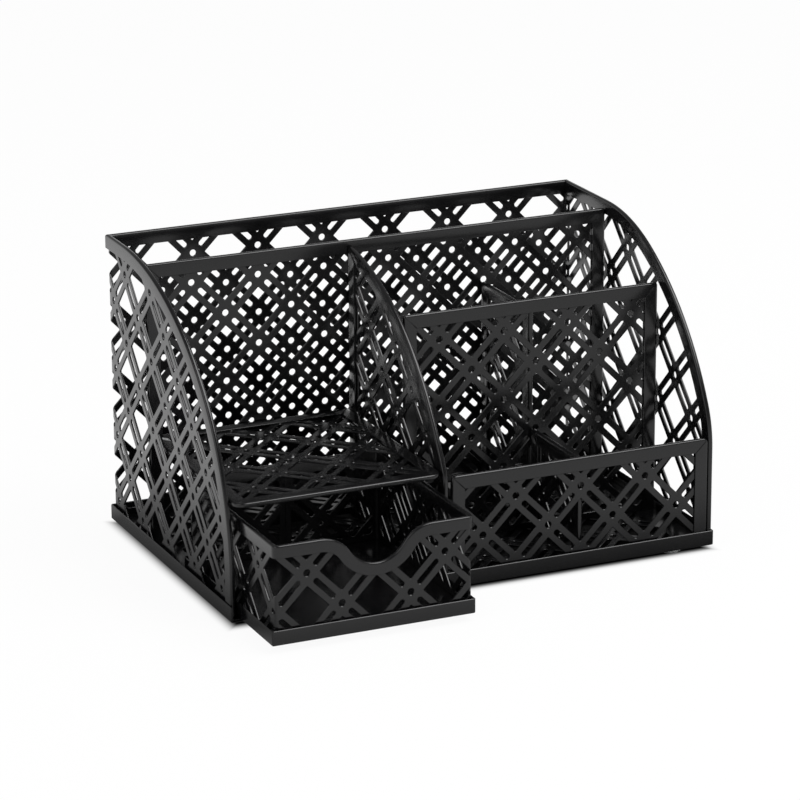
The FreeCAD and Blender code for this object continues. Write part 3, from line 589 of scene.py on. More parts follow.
def powder_coat():
    """Satin black powder coat on steel.

    The powder melts to a film with a faint orange peel and a finer grain, so the gloss is a
    little broken. Nearly all of what the eye sees is reflection, since the colour is almost black.
    """
    found = bpy.data.materials.get("satin_black_powder_coat")
    if found:
        return found
    coat = bpy.context.scene.stand_coat
    material = new_material("satin_black_powder_coat")
    tree = material.node_tree
    place = node(tree, "ShaderNodeTexCoord")
    # Orange peel of the melted film, in metres, so the scale is one over its wavelength
    peel = node(tree, "ShaderNodeTexNoise",
                values={"Scale": 1 / coat.peel, "Detail": 1.0, "Roughness": 0.4},
                links={"Vector": place.outputs["Object"]})
    # Grain of the powder, drawn as coarse as it needs to show in the render
    grain = node(tree, "ShaderNodeTexNoise",
                 values={"Scale": 1 / coat.grain, "Detail": 2.0, "Roughness": 0.6},
                 links={"Vector": place.outputs["Object"]})
    # Broad change of film thickness from the spray gun
    film = node(tree, "ShaderNodeTexNoise",
                values={"Scale": 1 / coat.film, "Detail": 2.0, "Roughness": 0.5},
                links={"Vector": place.outputs["Object"]})
    tint = node(tree, "ShaderNodeMix", {"data_type": "RGBA"},
                {"A": linear("#070708"), "B": tuple(coat.colour) + (1.0,)},
                {"Factor": film.outputs["Fac"]})
    mixed = node(tree, "ShaderNodeMath", {"operation": "MULTIPLY_ADD"}, {1: 0.35},
                 {0: grain.outputs["Fac"], 2: film.outputs["Fac"]})
    gloss = node(tree, "ShaderNodeMapRange",
                 values={"From Min": 0.35, "From Max": 1.0, "To Min": 0.15, "To Max": 0.23},
                 links={"Value": mixed.outputs[0]})
    waves = node(tree, "ShaderNodeBump", values={"Strength": 0.12, "Distance": 0.0001},
                 links={"Height": peel.outputs["Fac"]})
    rough = node(tree, "ShaderNodeBump", values={"Strength": 0.25, "Distance": 0.00002},
                 links={"Height": grain.outputs["Fac"], "Normal": waves.outputs["Normal"]})
    shader = node(tree, "ShaderNodeBsdfPrincipled", values={"IOR": 1.5},
                  links={"Base Color": tint.outputs["Result"], "Roughness": gloss.outputs["Result"],
                         "Normal": rough.outputs["Normal"]})
    node(tree, "ShaderNodeOutputMaterial", links={"Surface": shader.outputs["BSDF"]})
    return material


def bumper_polyurethane():
    """Soft clear polyurethane of a stick-on bumper foot, cast in a dome.

    It is milky and glossy: light goes in, is scattered and comes out pale grey.
    """
    found = bpy.data.materials.get("cast_polyurethane_bumper")
    if found:
        return found
    material = new_material("cast_polyurethane_bumper")
    tree = material.node_tree
    place = node(tree, "ShaderNodeTexCoord")
    # Clouds of 2 mm in the casting
    haze = node(tree, "ShaderNodeTexNoise", values={"Scale": 1 / 0.002, "Detail": 2.0},
                links={"Vector": place.outputs["Object"]})
    tint = node(tree, "ShaderNodeMix", {"data_type": "RGBA"},
                {"A": linear("#C9CBCA"), "B": linear("#DFE1E0")}, {"Factor": haze.outputs["Fac"]})
    gloss = node(tree, "ShaderNodeMapRange", values={"To Min": 0.22, "To Max": 0.34},
                 links={"Value": haze.outputs["Fac"]})
    shader = node(tree, "ShaderNodeBsdfPrincipled",
                  values={"IOR": 1.49, "Transmission Weight": 0.45, "Subsurface Weight": 0.3,
                          "Subsurface Radius": (0.004, 0.004, 0.004), "Subsurface Scale": 1.0},
                  links={"Base Color": tint.outputs["Result"], "Roughness": gloss.outputs["Result"]})
    node(tree, "ShaderNodeOutputMaterial", links={"Surface": shader.outputs["BSDF"]})
    return material


def pale_paper(stage):
    """Matt white background paper, lit evenly.

    The camera sees it as white up to the stand's outline, and under the stand as paper painted dark grey,
    a painted shade.
    In reflections it glows as a lit backdrop, with painted light brighter at the back and painted shade
    close to the stand.
    """
    material = new_material("pale_paper_floor")
    tree = material.node_tree
    rays = node(tree, "ShaderNodeLightPath")
    place = node(tree, "ShaderNodeTexCoord")
    low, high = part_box("base_pan")
    moved = node(tree, "ShaderNodeVectorMath", {"operation": "SUBTRACT"}, {1: (low + high) / 2},
                 {0: place.outputs["Object"]})
    side = node(tree, "ShaderNodeVectorMath", {"operation": "ABSOLUTE"}, links={0: moved.outputs[0]})
    past = node(tree, "ShaderNodeVectorMath", {"operation": "SUBTRACT"}, {1: (high - low) / 2},
                {0: side.outputs[0]})
    axes = node(tree, "ShaderNodeSeparateXYZ", links={0: past.outputs[0]})
    outside = node(tree, "ShaderNodeMath", {"operation": "MAXIMUM"},
                   links={0: axes.outputs[0], 1: axes.outputs[1]})
    # Under the stand hardly any light reaches the paper, so it is backdrop only outside its outline, and
    # under the stand this mask paints the paper dark grey as painted shade
    clear = node(tree, "ShaderNodeMapRange", {"interpolation_type": "SMOOTHSTEP"},
                 {"From Min": -0.004, "From Max": 0.004, "To Min": 0.0, "To Max": 0.94},
                 {"Value": outside.outputs[0]})
    # Painted shade: the paper's colour is dark grey under the stand, standing in for the shade there
    paper_with_painted_shade = node(tree, "ShaderNodeMix", {"data_type": "RGBA"},
                {"A": linear("#1A1A1A"), "B": tuple(stage.floor) + (1.0,)},
                {"Factor": clear.outputs["Result"]})
    paper = node(tree, "ShaderNodeBsdfDiffuse", links={"Color": paper_with_painted_shade.outputs["Result"]})
    # Painted shade: close by, the paper's glow in reflections is faded, standing in for the stand's own
    # shade, which its lowest parts mirror
    shade = node(tree, "ShaderNodeMapRange", {"interpolation_type": "SMOOTHSTEP"},
                 {"From Min": -0.02, "From Max": 0.08}, {"Value": outside.outputs[0]})
    # Painted light: in reflections its glow is brighter at the back than on the camera's side, like a lit
    # backdrop
    ways = node(tree, "ShaderNodeSeparateXYZ", links={0: moved.outputs[0]})
    depth = node(tree, "ShaderNodeMapRange",
                 values={"From Min": -0.15, "From Max": 0.1, "To Min": 0.85, "To Max": 1.2},
                 links={"Value": ways.outputs[1]})
    mirrored = node(tree, "ShaderNodeMath", {"operation": "MULTIPLY"},
                    links={0: shade.outputs["Result"], 1: depth.outputs["Result"]})
    strength = node(tree, "ShaderNodeMix", values={"B": 1.0},
                    links={"Factor": rays.outputs["Is Camera Ray"], "A": mirrored.outputs[0]})
    white = node(tree, "ShaderNodeEmission", values={"Color": (1, 1, 1, 1)},
                 links={"Strength": strength.outputs["Result"]})
    seen = node(tree, "ShaderNodeMath", {"operation": "MAXIMUM"},
                links={0: rays.outputs["Is Camera Ray"], 1: rays.outputs["Is Transmission Ray"]})
    direct = node(tree, "ShaderNodeMath", {"operation": "MULTIPLY"},
                  links={0: seen.outputs[0], 1: clear.outputs["Result"]})
    share = node(tree, "ShaderNodeMath", {"operation": "MAXIMUM"},
                 links={0: direct.outputs[0], 1: rays.outputs["Is Glossy Ray"]})
    mixed = node(tree, "ShaderNodeMixShader",
                 links={0: share.outputs[0], 1: paper.outputs[0], 2: white.outputs[0]})
    node(tree, "ShaderNodeOutputMaterial", links={"Surface": mixed.outputs[0]})
    return material


# Sizes that a user would change

class StandLattice(bpy.types.PropertyGroup):
    """The sheets, and the lattice that they are punched with."""
    sheet: FloatProperty(name="Sheet", description="Thickness of the punched sheet",
                         default=0.0008, unit="LENGTH")
    pan_sheet: FloatProperty(name="Pan sheet", description="Thickness of the pans and their floors",
                             default=0.0006, unit="LENGTH")
    pitch: FloatProperty(name="Pitch", description="Crossing to crossing along a row",
                         default=0.030, unit="LENGTH")
    bar: FloatProperty(name="Bar", description="Width of one bar of a pair",
                       default=0.0028, unit="LENGTH")
    slot: FloatProperty(name="Slot", description="Slot between the bars of a pair",
                        default=0.0022, unit="LENGTH")
    slot_start: FloatProperty(name="Slot start", description="Crossing centre to the end of a slot",
                              default=0.0044, unit="LENGTH")
    hole: FloatProperty(name="Hole", description="Round hole at a crossing",
                        default=0.0029, unit="LENGTH")
    diamond_corner: FloatProperty(name="Diamond corner", description="Rounding of the diamonds' corners",
                                  default=0.0005, unit="LENGTH")
    border: FloatProperty(name="Border", description="Unpunched border inside the edging",
                          default=0.003, unit="LENGTH")
    ease: FloatProperty(name="Eased edge", description="Coated and softened edge of every opening",
                        default=0.0002, unit="LENGTH")


class StandEdging(bpy.types.PropertyGroup):
    """The folded strip over every free edge."""
    steel: FloatProperty(name="Steel", description="Thickness of the strip",
                         default=0.0007, unit="LENGTH")
    width: FloatProperty(name="Width", description="Legs of the edging", default=0.006, unit="LENGTH")
    drawer_width: FloatProperty(name="Drawer width", description="Legs of the edging on the drawer",
                                default=0.0054, unit="LENGTH")
    nose: FloatProperty(name="Nose", description="Rounding along the fold",
                        default=0.0009, unit="LENGTH")
    ease: FloatProperty(name="Eased edge", description="Softened ends of the legs",
                        default=0.00015, unit="LENGTH")
    fit: FloatProperty(name="Fit", description="Sheet to the bottom of the channel",
                       default=0.0001, unit="LENGTH")
    mitre_width: FloatProperty(name="Mitre width", description="Width of the line where two strips meet",
                               default=0.0004, unit="LENGTH")
    mitre_depth: FloatProperty(name="Mitre depth", description="Depth of that line",
                               default=0.0002, unit="LENGTH")


class StandCoat(bpy.types.PropertyGroup):
    """The black powder coat."""
    colour: FloatVectorProperty(name="Colour", description="Colour of the coat where it is thickest",
                                subtype="COLOR", size=3, default=linear("#0C0C0D")[:3], min=0, max=1)
    peel: FloatProperty(name="Orange peel", description="Wavelength of the film's waves",
                        default=0.0016, unit="LENGTH")
    grain: FloatProperty(name="Grain", description="Grain of the powder, as coarse as it shows",
                         default=0.0003, unit="LENGTH")
    film: FloatProperty(name="Film", description="Patches of thicker and thinner film",
                        default=0.018, unit="LENGTH")


class StandStage(bpy.types.PropertyGroup):
    """Floor, light and camera."""
    floor: FloatVectorProperty(name="Floor", description="Colour of the floor", subtype="COLOR", size=3,
                               default=linear("#F4F4F4")[:3], min=0, max=1)
    key: FloatProperty(name="Key light", description="Power of the large light from the left",
                       default=6.0, subtype="POWER")
    key_size: FloatProperty(name="Key size", description="Side of the light from the left",
                            default=1.2, unit="LENGTH")
    key_place: FloatVectorProperty(name="Key place", description="Where the light from the left hangs",
                                   size=3, default=(-1.3, -0.5, 1.1), unit="LENGTH")
    fill: FloatProperty(name="Top light", description="Power of the softbox overhead",
                        default=19.0, subtype="POWER")
    fill_size: FloatProperty(name="Top size", description="Side of the softbox overhead",
                             default=1.1, unit="LENGTH")
    fill_place: FloatVectorProperty(name="Top place", description="Where the softbox hangs",
                                    size=3, default=(0.6, -0.5, 1.4), unit="LENGTH")
    sky: FloatProperty(name="Sky", description="Strength of the light from all round", default=0.5)
    azimuth: FloatProperty(name="Azimuth", description="Camera's way round the stand", subtype="ANGLE",
                           default=math.radians(-24.188))
    elevation: FloatProperty(name="Elevation", description="Camera's height above the horizon",
                             subtype="ANGLE", default=math.radians(17.797))
    roll: FloatProperty(name="Roll", description="Camera's tilt", subtype="ANGLE",
                        default=math.radians(-0.28))
    distance: FloatProperty(name="Distance", description="Camera to what it looks at",
                            default=1.639543, unit="LENGTH")
    target: FloatVectorProperty(name="Target", description="What the camera looks at", size=3,
                                default=(-0.003944, 0.017, 0.061605), unit="LENGTH")
    lens: FloatProperty(name="Lens", description="Focal length in millimetres on a 36 mm sensor",
                        default=174.207)


def sheet_inset():
    """The edge of a sheet, in from the fold of its edging."""
    folds = bpy.context.scene.stand_edging
    return mm(folds.steel) + mm(folds.fit)


def border():
    """A sheet's unpunched border, narrower by the eased edge."""
    sizes = bpy.context.scene.stand_lattice
    return mm(sizes.border) - mm(sizes.ease)


def window_inset():
    """The punched window of a sheet, in from the fold of its edging."""
    return sheet_inset() + border()


def half_edging():
    """Half the thickness of an edging, from the sheet's middle plane."""
    scene = bpy.context.scene
    return mm(scene.stand_lattice.sheet) / 2 + mm(scene.stand_edging.steel)


class Undoable:
    """The options of every operator that builds pieces."""
    bl_options = {"REGISTER", "UNDO"}


class STAND_OT_base(Undoable, bpy.types.Operator):
    """Build the pan that everything stands in and its punched floor"""
    bl_idname = "stand.base"
    bl_label = "Base"

    def execute(self, context):
        sizes = context.scene.stand_lattice
        steel, ease = mm(sizes.pan_sheet), mm(sizes.ease)
        low, high = box_of("base_pan")
        around = ring(low.x, high.x, low.y, high.y, PAN_CORNER, PAN_CORNER, CORNER_STEPS)
        plate = rounded_fold(low.z) + [(0, low.z + steel)] + flange_end(PAN_FLANGE, low.z)
        flange = swept(around, plate, True)

        # The rim leaves the front open where the drawer runs
        upright_part = [(0, low.z + steel)] + rim_top(high.z) + [(steel, low.z + steel)]
        rim = swept(around, upright_part, True)
        opening_left, opening_right = low.x + steel, box_of("centre_divider_edging")[0].x
        for x in (opening_left, opening_right):
            cut_at(rim, x)
        middles = {face: face.calc_center_median() for face in rim.faces}
        gone = [face for face, middle in middles.items()
                if opening_left < middle.x < opening_right and middle.y < low.y + RIM_FRONT]
        bmesh.ops.delete(rim, geom=gone, context="FACES")
        bmesh.ops.holes_fill(rim, edges=[edge for edge in rim.edges if edge.is_boundary], sides=0)
        bmesh.ops.recalc_face_normals(rim, faces=rim.faces)
        whole = bmesh.new()
        pour(flange, whole)
        pour(rim, whole)
        steel_piece(whole, "pan", ["base_pan"])

        low, high = box_of("base_floor")
        outline = rectangle(low.x, high.x, low.y, high.y)
        inner = PAN_FLANGE - steel - ease
        window = rectangle(low.x + inner, high.x - inner, low.y + inner, high.y - inner)
        middle = (low + high) / 2
        floor = punched(outline, [(window, (middle.x, middle.y), None)], steel)
        steel_piece(floor, "pan_floor", ["base_floor"], place=(0, 0, middle.z))
        return {"FINISHED"}


class STAND_OT_feet(Undoable, bpy.types.Operator):
    """Build the four stick-on bumper feet"""
    bl_idname = "stand.feet"
    bl_label = "Feet"

    def execute(self, context):
        for end in ("front_left", "front_right", "rear_left", "rear_right"):
            low, high = box_of("foot_" + end)
            radius, height = (high.x - low.x) / 2, high.z - low.z
            mesh = bmesh.new()
            line = [mesh.verts.new((0, 0, height))]
            line += [mesh.verts.new((radius * out, 0, up * height)) for out, up in DOME_SHARES]
            line += [mesh.verts.new((0, 0, 0))]
            edges = [mesh.edges.new(pair) for pair in zip(line, line[1:])]
            bmesh.ops.spin(mesh, geom=line + edges, cent=(0, 0, 0), axis=(0, 0, 1), angle=2 * math.pi,
                           steps=FOOT_SIDES, use_merge=True)
            bmesh.ops.remove_doubles(mesh, verts=mesh.verts, dist=MERGE)
            bmesh.ops.recalc_face_normals(mesh, faces=mesh.faces)
            middle = (low + high) / 2
            finished(mesh, "bumper_" + end, ["foot_" + end], bumper_polyurethane(), "cabinet",
                     LYING_FLAT, (middle.x, middle.y, low.z), FOOT_CREASE)
        return {"FINISHED"}


class STAND_OT_outer_wall(Undoable, bpy.types.Operator):
    """Build the outer wall, one sheet folded round the back, and the edging along its top"""
    bl_idname = "stand.outer_wall"
    bl_label = "Outer wall"

    def execute(self, context):
        high = box_of("back_wall_edging")[1]
        bottom = box_of("left_wall_edging")[0].z
        paths = {}
        for name, curve in (("left", LEFT_CURVE), ("right", RIGHT_CURVE)):
            front = box_of(name + "_wall_edging")[0].y
            paths[name] = falling(front, high.y, bottom, high.z, curve, False)
        half = half_edging()
        self.sheet(paths, bottom, high.z, high.x - half, high.y - half)
        self.edging(paths, high, half)
        return {"FINISHED"}

    @staticmethod
    def sheet(paths, bottom, top, side, end):
        """The punched sheet, whose middle plane stands at side and end."""
        sizes = bpy.context.scene.stand_lattice
        thickness, pitch = mm(sizes.sheet), mm(sizes.pitch)
        radius = WALL_BEND - thickness / 2
        flat_end, bend_start = side - radius, end - radius
        # Laid out flat, the sheet runs from the left front edge round the back to the right one
        reach = flat_end + radius * math.pi / 2

        def laid_out(name, inset):
            """The side wall's front and top edge, laid out flat, to where the bend starts."""
            sign = -1 if name == "left" else 1
            points = paths[name](inset)[:-1] + [Vector((bend_start, top - inset))]
            return [Vector((sign * (reach + bend_start - point.x), point.y)) for point in points]

        outline = laid_out("left", sheet_inset()) + laid_out("right", sheet_inset())[::-1]
        inset = window_inset()
        low = bottom + border()
        left, right = laid_out("left", inset), laid_out("right", inset)
        left[0].y = right[0].y = low
        seam = reach + SEAM_PAST_BEND
        main = left + [Vector((seam - SEAM_HALF, top - inset)), Vector((seam - SEAM_HALF, low))]
        rest = [Vector((seam + SEAM_HALF, low)), Vector((seam + SEAM_HALF, top - inset))] + right[::-1]

        # The lattice of the back runs on round the left bend, a little closer there
        kept_to = BACK_CROSSING[0] - KEPT_PITCHES * pitch
        left_crossing = -(reach + bend_start - LEFT_CROSSING_DEPTH)
        stretch = BEND_PITCHES * pitch
        share = (kept_to - left_crossing) / stretch

        def warp(along):
            """Where a point of the back's lattice comes to lie along the sheet."""
            if along > kept_to:
                return along
            if along > kept_to - stretch:
                return kept_to + (along - kept_to) * share
            return left_crossing + (along - (kept_to - stretch))

        right_crossing = (reach + bend_start - RIGHT_CROSSING[0], RIGHT_CROSSING[1])
        wall = punched(outline, [(main, BACK_CROSSING, warp), (rest, right_crossing, None)], thickness)
        folded(wall, Run(-(reach + bend_start), (-side, 0.0), (0, 1),
                         [("flat", bend_start), ("bend", radius), ("flat", 2 * flat_end), ("bend", radius),
                          ("flat", bend_start)]))
        steel_piece(wall, "outer_wall", ["back_wall", "left_wall", "right_wall"])

    def edging(self, paths, high, half):
        """The edging in three lengths, mitred where they meet at the back corners."""
        section = edging_section(mm(bpy.context.scene.stand_edging.width))

        def along_back(inset):
            """The top of the back from left to right."""
            return [Vector((-high.x, high.z - inset)), Vector((high.x, high.z - inset))]

        straight = swept(along_back, section, False)
        straight.transform(FACING_FRONT.to_4x4())
        bmesh.ops.translate(straight, verts=straight.verts, vec=(0, high.y - half, 0))
        for sign in (-1, 1):
            self.cut(straight, (sign * high.x, high.y), (sign, 1))
        steel_piece(straight, "back_edging", ["back_wall_edging"])
        for name, sign in (("left", -1), ("right", 1)):
            strip = swept(paths[name], section, False)
            strip.transform(FACING_SIDE.to_4x4())
            bmesh.ops.translate(strip, verts=strip.verts, vec=(sign * (high.x - half), 0, 0))
            self.cut(strip, (sign * high.x, high.y), (-sign, -1))
            steel_piece(strip, name + "_edging", [name + "_wall_edging"])

    @staticmethod
    def cut(mesh, corner, away):
        """Cut an end off at 45 degrees in plan, with a fine gap at the joint."""
        outward = Vector((away[0], -away[1], 0)).normalized()
        start = Vector((corner[0], corner[1], 0))
        made = bmesh.ops.bisect_plane(mesh, geom=everything(mesh), plane_co=start - outward * JOINT_GAP,
                                      plane_no=outward, clear_outer=True)
        bmesh.ops.holes_fill(mesh, edges=made_of(bmesh.types.BMEdge, made["geom_cut"]), sides=0)
        bmesh.ops.recalc_face_normals(mesh, faces=mesh.faces)


def upright(name, facing, path, place, centre, bottom, corners):
    """An upright divider: its edging with a line at each mitre, and its punched sheet."""
    sizes, folds = bpy.context.scene.stand_lattice, bpy.context.scene.stand_edging
    width = mm(folds.width)
    strip = swept(path, edging_section(width), False)
    for corner, inward in corners:
        mitre_line(strip, corner, inward, half_edging(), width)
    steel_piece(strip, name + "_folds", [name + "_edging"], facing=facing, place=place)
    outline = distinct(path(sheet_inset()))
    window = distinct(raised(path(window_inset()), bottom + border()))
    sheet = punched(outline, [(window, centre, None)], mm(sizes.sheet))
    steel_piece(sheet, name + "_sheet", [name], facing=facing, place=place)


class STAND_OT_dividers(Undoable, bpy.types.Operator):
    """Build the upright dividers, the front panel and the short cross dividers"""
    bl_idname = "stand.dividers"
    bl_label = "Dividers"

    def execute(self, context):
        for name, centre in FACING_CROSSINGS.items():
            low, high = box_of(name + "_edging")
            path = arch(low.x, high.x, low.z, high.z, CORNERS[name])
            mitres = [((low.x, high.z), (1, -1)), ((high.x, high.z), (-1, -1))]
            upright(name, FACING_FRONT, path, (0, (low.y + high.y) / 2, 0), centre, low.z, mitres)
        for name, level in CROSS_DIVIDER_LEVELS.items():
            low, high = box_of(name + "_edging")
            path = arch(low.y, high.y, low.z, high.z, CROSS_CORNER)
            mitres = [((low.y, high.z), (1, -1)), ((high.y, high.z), (-1, -1))]
            place = ((low.x + high.x) / 2, 0, 0)
            upright(name, FACING_SIDE, path, place, ((low.y + high.y) / 2, level), low.z, mitres)
        low, high = box_of("centre_divider_edging")
        path = falling(low.y, high.y, low.z, CENTRE_TOP, CENTRE_CURVE, True)
        rear_corner = path(0.0)[-2]
        upright("centre_divider", FACING_SIDE, path, ((low.x + high.x) / 2, 0, 0), CENTRE_CROSSING, low.z,
                [(rear_corner, CENTRE_MITRE_WAY)])
        return {"FINISHED"}


class STAND_OT_shelf(Undoable, bpy.types.Operator):
    """Build the punched shelf over the drawer with the edging round it"""
    bl_idname = "stand.shelf"
    bl_label = "Shelf"

    def execute(self, context):
        width = mm(context.scene.stand_edging.width)
        low, high = box_of("drawer_shelf_edging")
        middle = (low + high) / 2
        place = (0, 0, middle.z)
        path = ring(low.x, high.x, low.y, high.y, SHELF_FRONT_CORNER, SHELF_BACK_CORNER)
        strip = swept(path, edging_section(width), True)
        for x, sign in ((low.x, 1), (high.x, -1)):
            for y, rise in ((low.y, 1), (high.y, -1)):
                mitre_line(strip, (x, y), (sign, rise), half_edging(), width)
        steel_piece(strip, "shelf_folds", ["drawer_shelf_edging"], place=place)
        outline, window = distinct(path(sheet_inset())), distinct(path(window_inset()))
        thickness = mm(context.scene.stand_lattice.sheet)
        sheet = punched(outline, [(window, (middle.x, middle.y), None)], thickness)
        steel_piece(sheet, "shelf_sheet", ["drawer_shelf"], place=place)
        return {"FINISHED"}


class STAND_OT_drawer(Undoable, bpy.types.Operator):
    """Build the drawer: its pan and floor, its folded wall with the thumb scoop, and the edging on it"""
    bl_idname = "stand.drawer"
    bl_label = "Drawer"

    shoulder: FloatProperty(name="Shoulder", description="Radius of the shoulders of the scoop",
                            default=0.0153, unit="LENGTH")
    bottom: FloatProperty(name="Bottom", description="Radius of the bottom of the scoop",
                          default=0.0136, unit="LENGTH")
    depth: FloatProperty(name="Depth", description="Scoop below the top of the drawer",
                         default=0.0133, unit="LENGTH")
    shift: FloatProperty(name="Shift", description="Scoop, right of the middle of the front",
                         default=0.0011, unit="LENGTH")
    bend: FloatProperty(name="Bend", description="Outer radius of the upright bends",
                        default=0.002, unit="LENGTH")

    def execute(self, context):
        self.tray(mm(context.scene.stand_lattice.pan_sheet))
        self.wall(context.scene)
        return {"FINISHED"}

    @staticmethod
    def tray(steel):
        """The pan of the drawer and its plain floor."""
        low, high = box_of("drawer_pan")
        around = ring(low.x, high.x, low.y, high.y, PAN_CORNER, PAN_CORNER, CORNER_STEPS)
        section = (rounded_fold(low.z) + rim_top(high.z) + [(steel, low.z + steel)]
                   + flange_end(TRAY_FLANGE, low.z))
        steel_piece(swept(around, section, True), "tray", ["drawer_pan"], "drawer")
        low, high = box_of("drawer_floor")
        floor = punched(rectangle(low.x, high.x, low.y, high.y), [], steel)
        steel_piece(floor, "tray_floor", ["drawer_floor"], "drawer", place=(0, 0, (low.z + high.z) / 2))

    def wall(self, scene):
        """The four sides, folded from one sheet, with their edging."""
        thickness = mm(scene.stand_lattice.sheet)
        low, high = box_of("drawer_front_edging")
        back = box_of("drawer_back_edging")[1].y
        half = half_edging()
        top, bottom = high.z, box_of("drawer_front")[0].z
        radius = mm(self.bend) - thickness / 2
        side_left, side_right = low.x + half, high.x - half
        front_y, back_y = low.y + half, back - half
        wide = side_right - side_left - 2 * radius
        deep = back_y - front_y - 2 * radius
        arc = radius * math.pi / 2
        # Laid out flat, the wall starts at the middle of the back and runs round by the right side
        whole = 2 * wide + 2 * deep + 4 * arc
        front_middle = whole / 2
        bend, half_back, side = ("bend", radius), ("flat", wide / 2), ("flat", deep)
        run = Run(0.0, ((side_left + side_right) / 2, back_y), (1, 0),
                  [half_back, bend, side, bend, ("flat", wide), bend, side, bend, half_back])
        path = self.scooped(front_middle - mm(self.shift), top, whole)

        strip = swept(path, edging_section(mm(scene.stand_edging.drawer_width)), False)
        steel_piece(folded(strip, run), "drawer_folds",
                    ["drawer_front_edging", "drawer_back_edging", "drawer_left_edging",
                     "drawer_right_edging"], "drawer")

        # One window runs from rear bend to rear bend by the front, and two are at the back
        outline = path(sheet_inset()) + [Vector((whole, bottom)), Vector((0, bottom))]
        floor, roof = bottom + border(), top - window_inset()
        first_bend = wide / 2 + arc / 2
        last_bend = whole - wide / 2 - arc / 2
        front_window = ([Vector((first_bend + arc, floor)), Vector((first_bend + arc, roof))]
                        + path(window_inset())[1:-1]
                        + [Vector((last_bend - arc, roof)), Vector((last_bend - arc, floor))])
        right_window = rectangle(DRAWER_SEAM_HALF, first_bend - arc, floor, roof)
        left_window = rectangle(last_bend + arc, whole - DRAWER_SEAM_HALF, floor, roof)
        shift, level = DRAWER_CROSSING_SHIFT, DRAWER_CROSSING_LEVEL
        sheet = punched(outline, [(front_window, (front_middle - shift, level), None),
                                  (right_window, (shift, level), None),
                                  (left_window, (whole + shift, level), None)], thickness)
        steel_piece(folded(sheet, run), "drawer_wall",
                    ["drawer_front", "drawer_back", "drawer_left_side", "drawer_right_side"], "drawer")

    def scooped(self, middle, top, whole, steps=10):
        """The path along the top of the wall, laid out flat, with the scoop in it."""
        shoulder, hollow, depth = mm(self.shoulder), mm(self.bottom), mm(self.depth)
        rise = shoulder + hollow - depth
        reach = math.sqrt((shoulder + hollow) ** 2 - rise ** 2)
        lean = math.atan2(rise, reach)
        up, left, right = math.pi / 2, math.pi, 2 * math.pi

        def path(inset):
            points = [Vector((0, top - inset))]
            points += turn((middle - reach, top - shoulder), shoulder, up, lean, steps, inset)
            points += turn((middle, top - depth + hollow), hollow, left + lean, right - lean,
                           2 * steps, inset, True)[1:]
            points += turn((middle + reach, top - shoulder), shoulder, left - lean, up, steps, inset)[1:]
            return points + [Vector((whole, top - inset))]
        return path


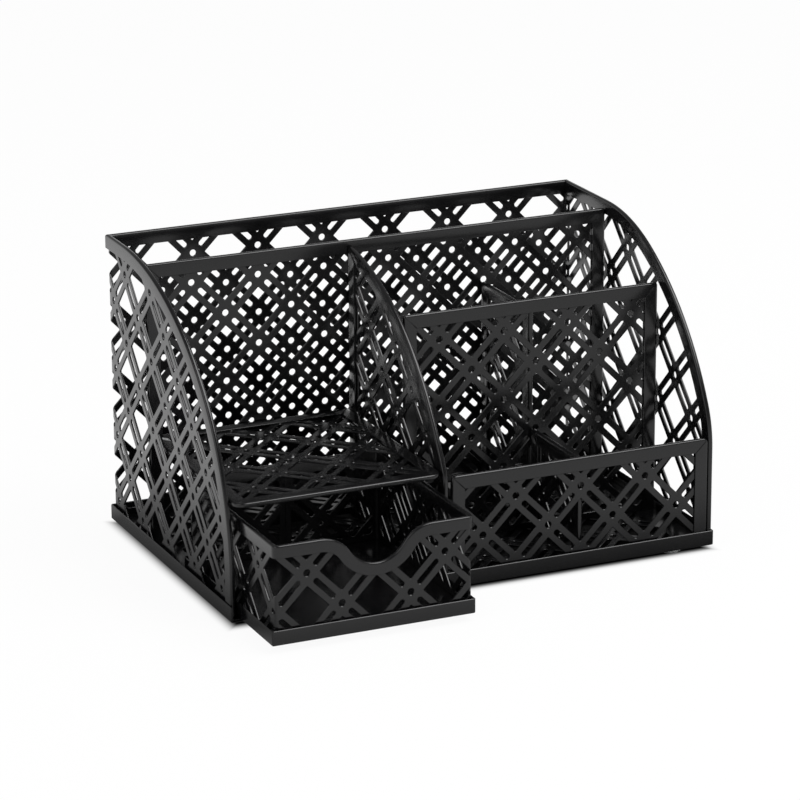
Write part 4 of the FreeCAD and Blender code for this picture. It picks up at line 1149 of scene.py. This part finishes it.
class STAND_OT_stage(bpy.types.Operator):
    """Lay the floor, hang the lights and set the camera"""
    bl_idname = "stand.stage"
    bl_label = "Stage"

    def execute(self, context):
        stage = context.scene.stand_stage
        self.floor(stage)
        self.world(stage)
        self.lamp("softbox_left", stage.key, stage.key_size, stage.key_place)
        self.lamp("softbox_top", stage.fill, stage.fill_size, stage.fill_place)
        self.camera(stage)
        context.scene.view_settings.view_transform = "Standard"
        return {"FINISHED"}

    @staticmethod
    def floor(stage):
        """A wide floor of pale paper."""
        mesh = bmesh.new()
        bmesh.ops.create_grid(mesh, x_segments=8, y_segments=8, size=FLOOR_REACH)
        data = bpy.data.meshes.new("floor")
        mesh.to_mesh(data)
        mesh.free()
        floor = bpy.data.objects.new("floor", data)
        bpy.context.scene.collection.objects.link(floor)
        data.materials.append(pale_paper(stage))

    @staticmethod
    def world(stage):
        """White all round for the camera and in reflections, softer as light."""
        world = bpy.data.worlds.new("white_studio")
        bpy.context.scene.world = world
        world.use_nodes = True
        tree = world.node_tree
        tree.nodes.clear()
        rays = node(tree, "ShaderNodeLightPath")
        place = node(tree, "ShaderNodeTexCoord")
        way = node(tree, "ShaderNodeSeparateXYZ", links={0: place.outputs["Generated"]})
        # In reflections the backdrop is brighter than the camera's side, and the ceiling is dim
        depth = node(tree, "ShaderNodeMapRange",
                     values={"From Min": -0.6, "From Max": 0.6, "To Min": 0.7, "To Max": 1.15},
                     links={"Value": way.outputs[1]})
        ceiling = node(tree, "ShaderNodeMapRange",
                       values={"From Min": 0.05, "From Max": 0.4, "To Min": 1.0, "To Max": 0.25},
                       links={"Value": way.outputs[2]})
        mirrored = node(tree, "ShaderNodeMath", {"operation": "MULTIPLY"},
                        links={0: depth.outputs["Result"], 1: ceiling.outputs["Result"]})
        soft = node(tree, "ShaderNodeMix", values={"A": stage.sky},
                    links={"Factor": rays.outputs["Is Glossy Ray"], "B": mirrored.outputs[0]})
        direct = node(tree, "ShaderNodeMath", {"operation": "MAXIMUM"},
                      links={0: rays.outputs["Is Camera Ray"], 1: rays.outputs["Is Transmission Ray"]})
        strength = node(tree, "ShaderNodeMix", values={"B": 1.0},
                        links={"Factor": direct.outputs[0], "A": soft.outputs["Result"]})
        light = node(tree, "ShaderNodeBackground", values={"Color": (1, 1, 1, 1)},
                     links={"Strength": strength.outputs["Result"]})
        node(tree, "ShaderNodeOutputWorld", links={"Surface": light.outputs[0]})

    @staticmethod
    def lamp(name, power, size, place):
        """A large soft light aimed at the middle of the stand."""
        data = bpy.data.lights.new(name, "AREA")
        data.shape = "SQUARE"
        data.size = size
        data.energy = power
        light = bpy.data.objects.new(name, data)
        light.location = place
        stand_middle = Vector((0, 0, 0.06))
        light.rotation_euler = (stand_middle - Vector(place)).to_track_quat("-Z", "Y").to_euler()
        bpy.context.scene.collection.objects.link(light)

    @staticmethod
    def camera(stage):
        """The photograph's camera."""
        around, above = stage.azimuth, stage.elevation
        back = Vector((math.sin(around) * math.cos(above), -math.cos(around) * math.cos(above),
                       math.sin(above)))
        data = bpy.data.cameras.new("camera")
        data.sensor_width = SENSOR
        data.lens = stage.lens
        data.clip_start = 0.01
        camera = bpy.data.objects.new("camera", data)
        right = (-back).cross(Vector((0, 0, 1))).normalized()
        up = right.cross(-back)
        c, s = math.cos(stage.roll), math.sin(stage.roll)
        right, up = right * c + up * s, up * c - right * s
        turned = Matrix((right, up, back)).transposed().to_4x4()
        camera.matrix_world = Matrix.Translation(Vector(stage.target) + back * stage.distance) @ turned
        bpy.context.scene.collection.objects.link(camera)
        bpy.context.scene.camera = camera


class STAND_PT_panel(bpy.types.Panel):
    """The stand's pieces and sizes"""
    bl_idname = "STAND_PT_panel"
    bl_label = "Pen Stand"
    bl_space_type = "VIEW_3D"
    bl_region_type = "UI"
    bl_category = "Pen Stand"

    def draw(self, context):
        for group_name in GROUPS:
            group = getattr(context.scene, group_name)
            box = self.layout.box()
            for name in group.__annotations__:
                box.prop(group, name)
        for operator in OPERATORS:
            self.layout.operator(operator.bl_idname)


GROUPS = {"stand_lattice": StandLattice, "stand_edging": StandEdging, "stand_coat": StandCoat,
          "stand_stage": StandStage}
OPERATORS = (STAND_OT_base, STAND_OT_feet, STAND_OT_outer_wall, STAND_OT_dividers, STAND_OT_shelf,
             STAND_OT_drawer, STAND_OT_stage)


def register():
    """Register the classes and hang the sizes on the scene."""
    for kind in (*GROUPS.values(), *OPERATORS, STAND_PT_panel):
        bpy.utils.register_class(kind)
    for name, group in GROUPS.items():
        setattr(bpy.types.Scene, name, PointerProperty(type=group))


def unregister():
    """Take the sizes and the classes away again."""
    for name in GROUPS:
        delattr(bpy.types.Scene, name)
    for kind in (STAND_PT_panel, *reversed(OPERATORS), *reversed(GROUPS.values())):
        bpy.utils.unregister_class(kind)


def main():
    """Build every piece."""
    register()
    bpy.ops.stand.base()
    bpy.ops.stand.feet()
    bpy.ops.stand.outer_wall()
    bpy.ops.stand.dividers()
    bpy.ops.stand.shelf()
    bpy.ops.stand.drawer()
    bpy.ops.stand.stage()
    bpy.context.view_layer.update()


if __name__ == "__main__":
    main()
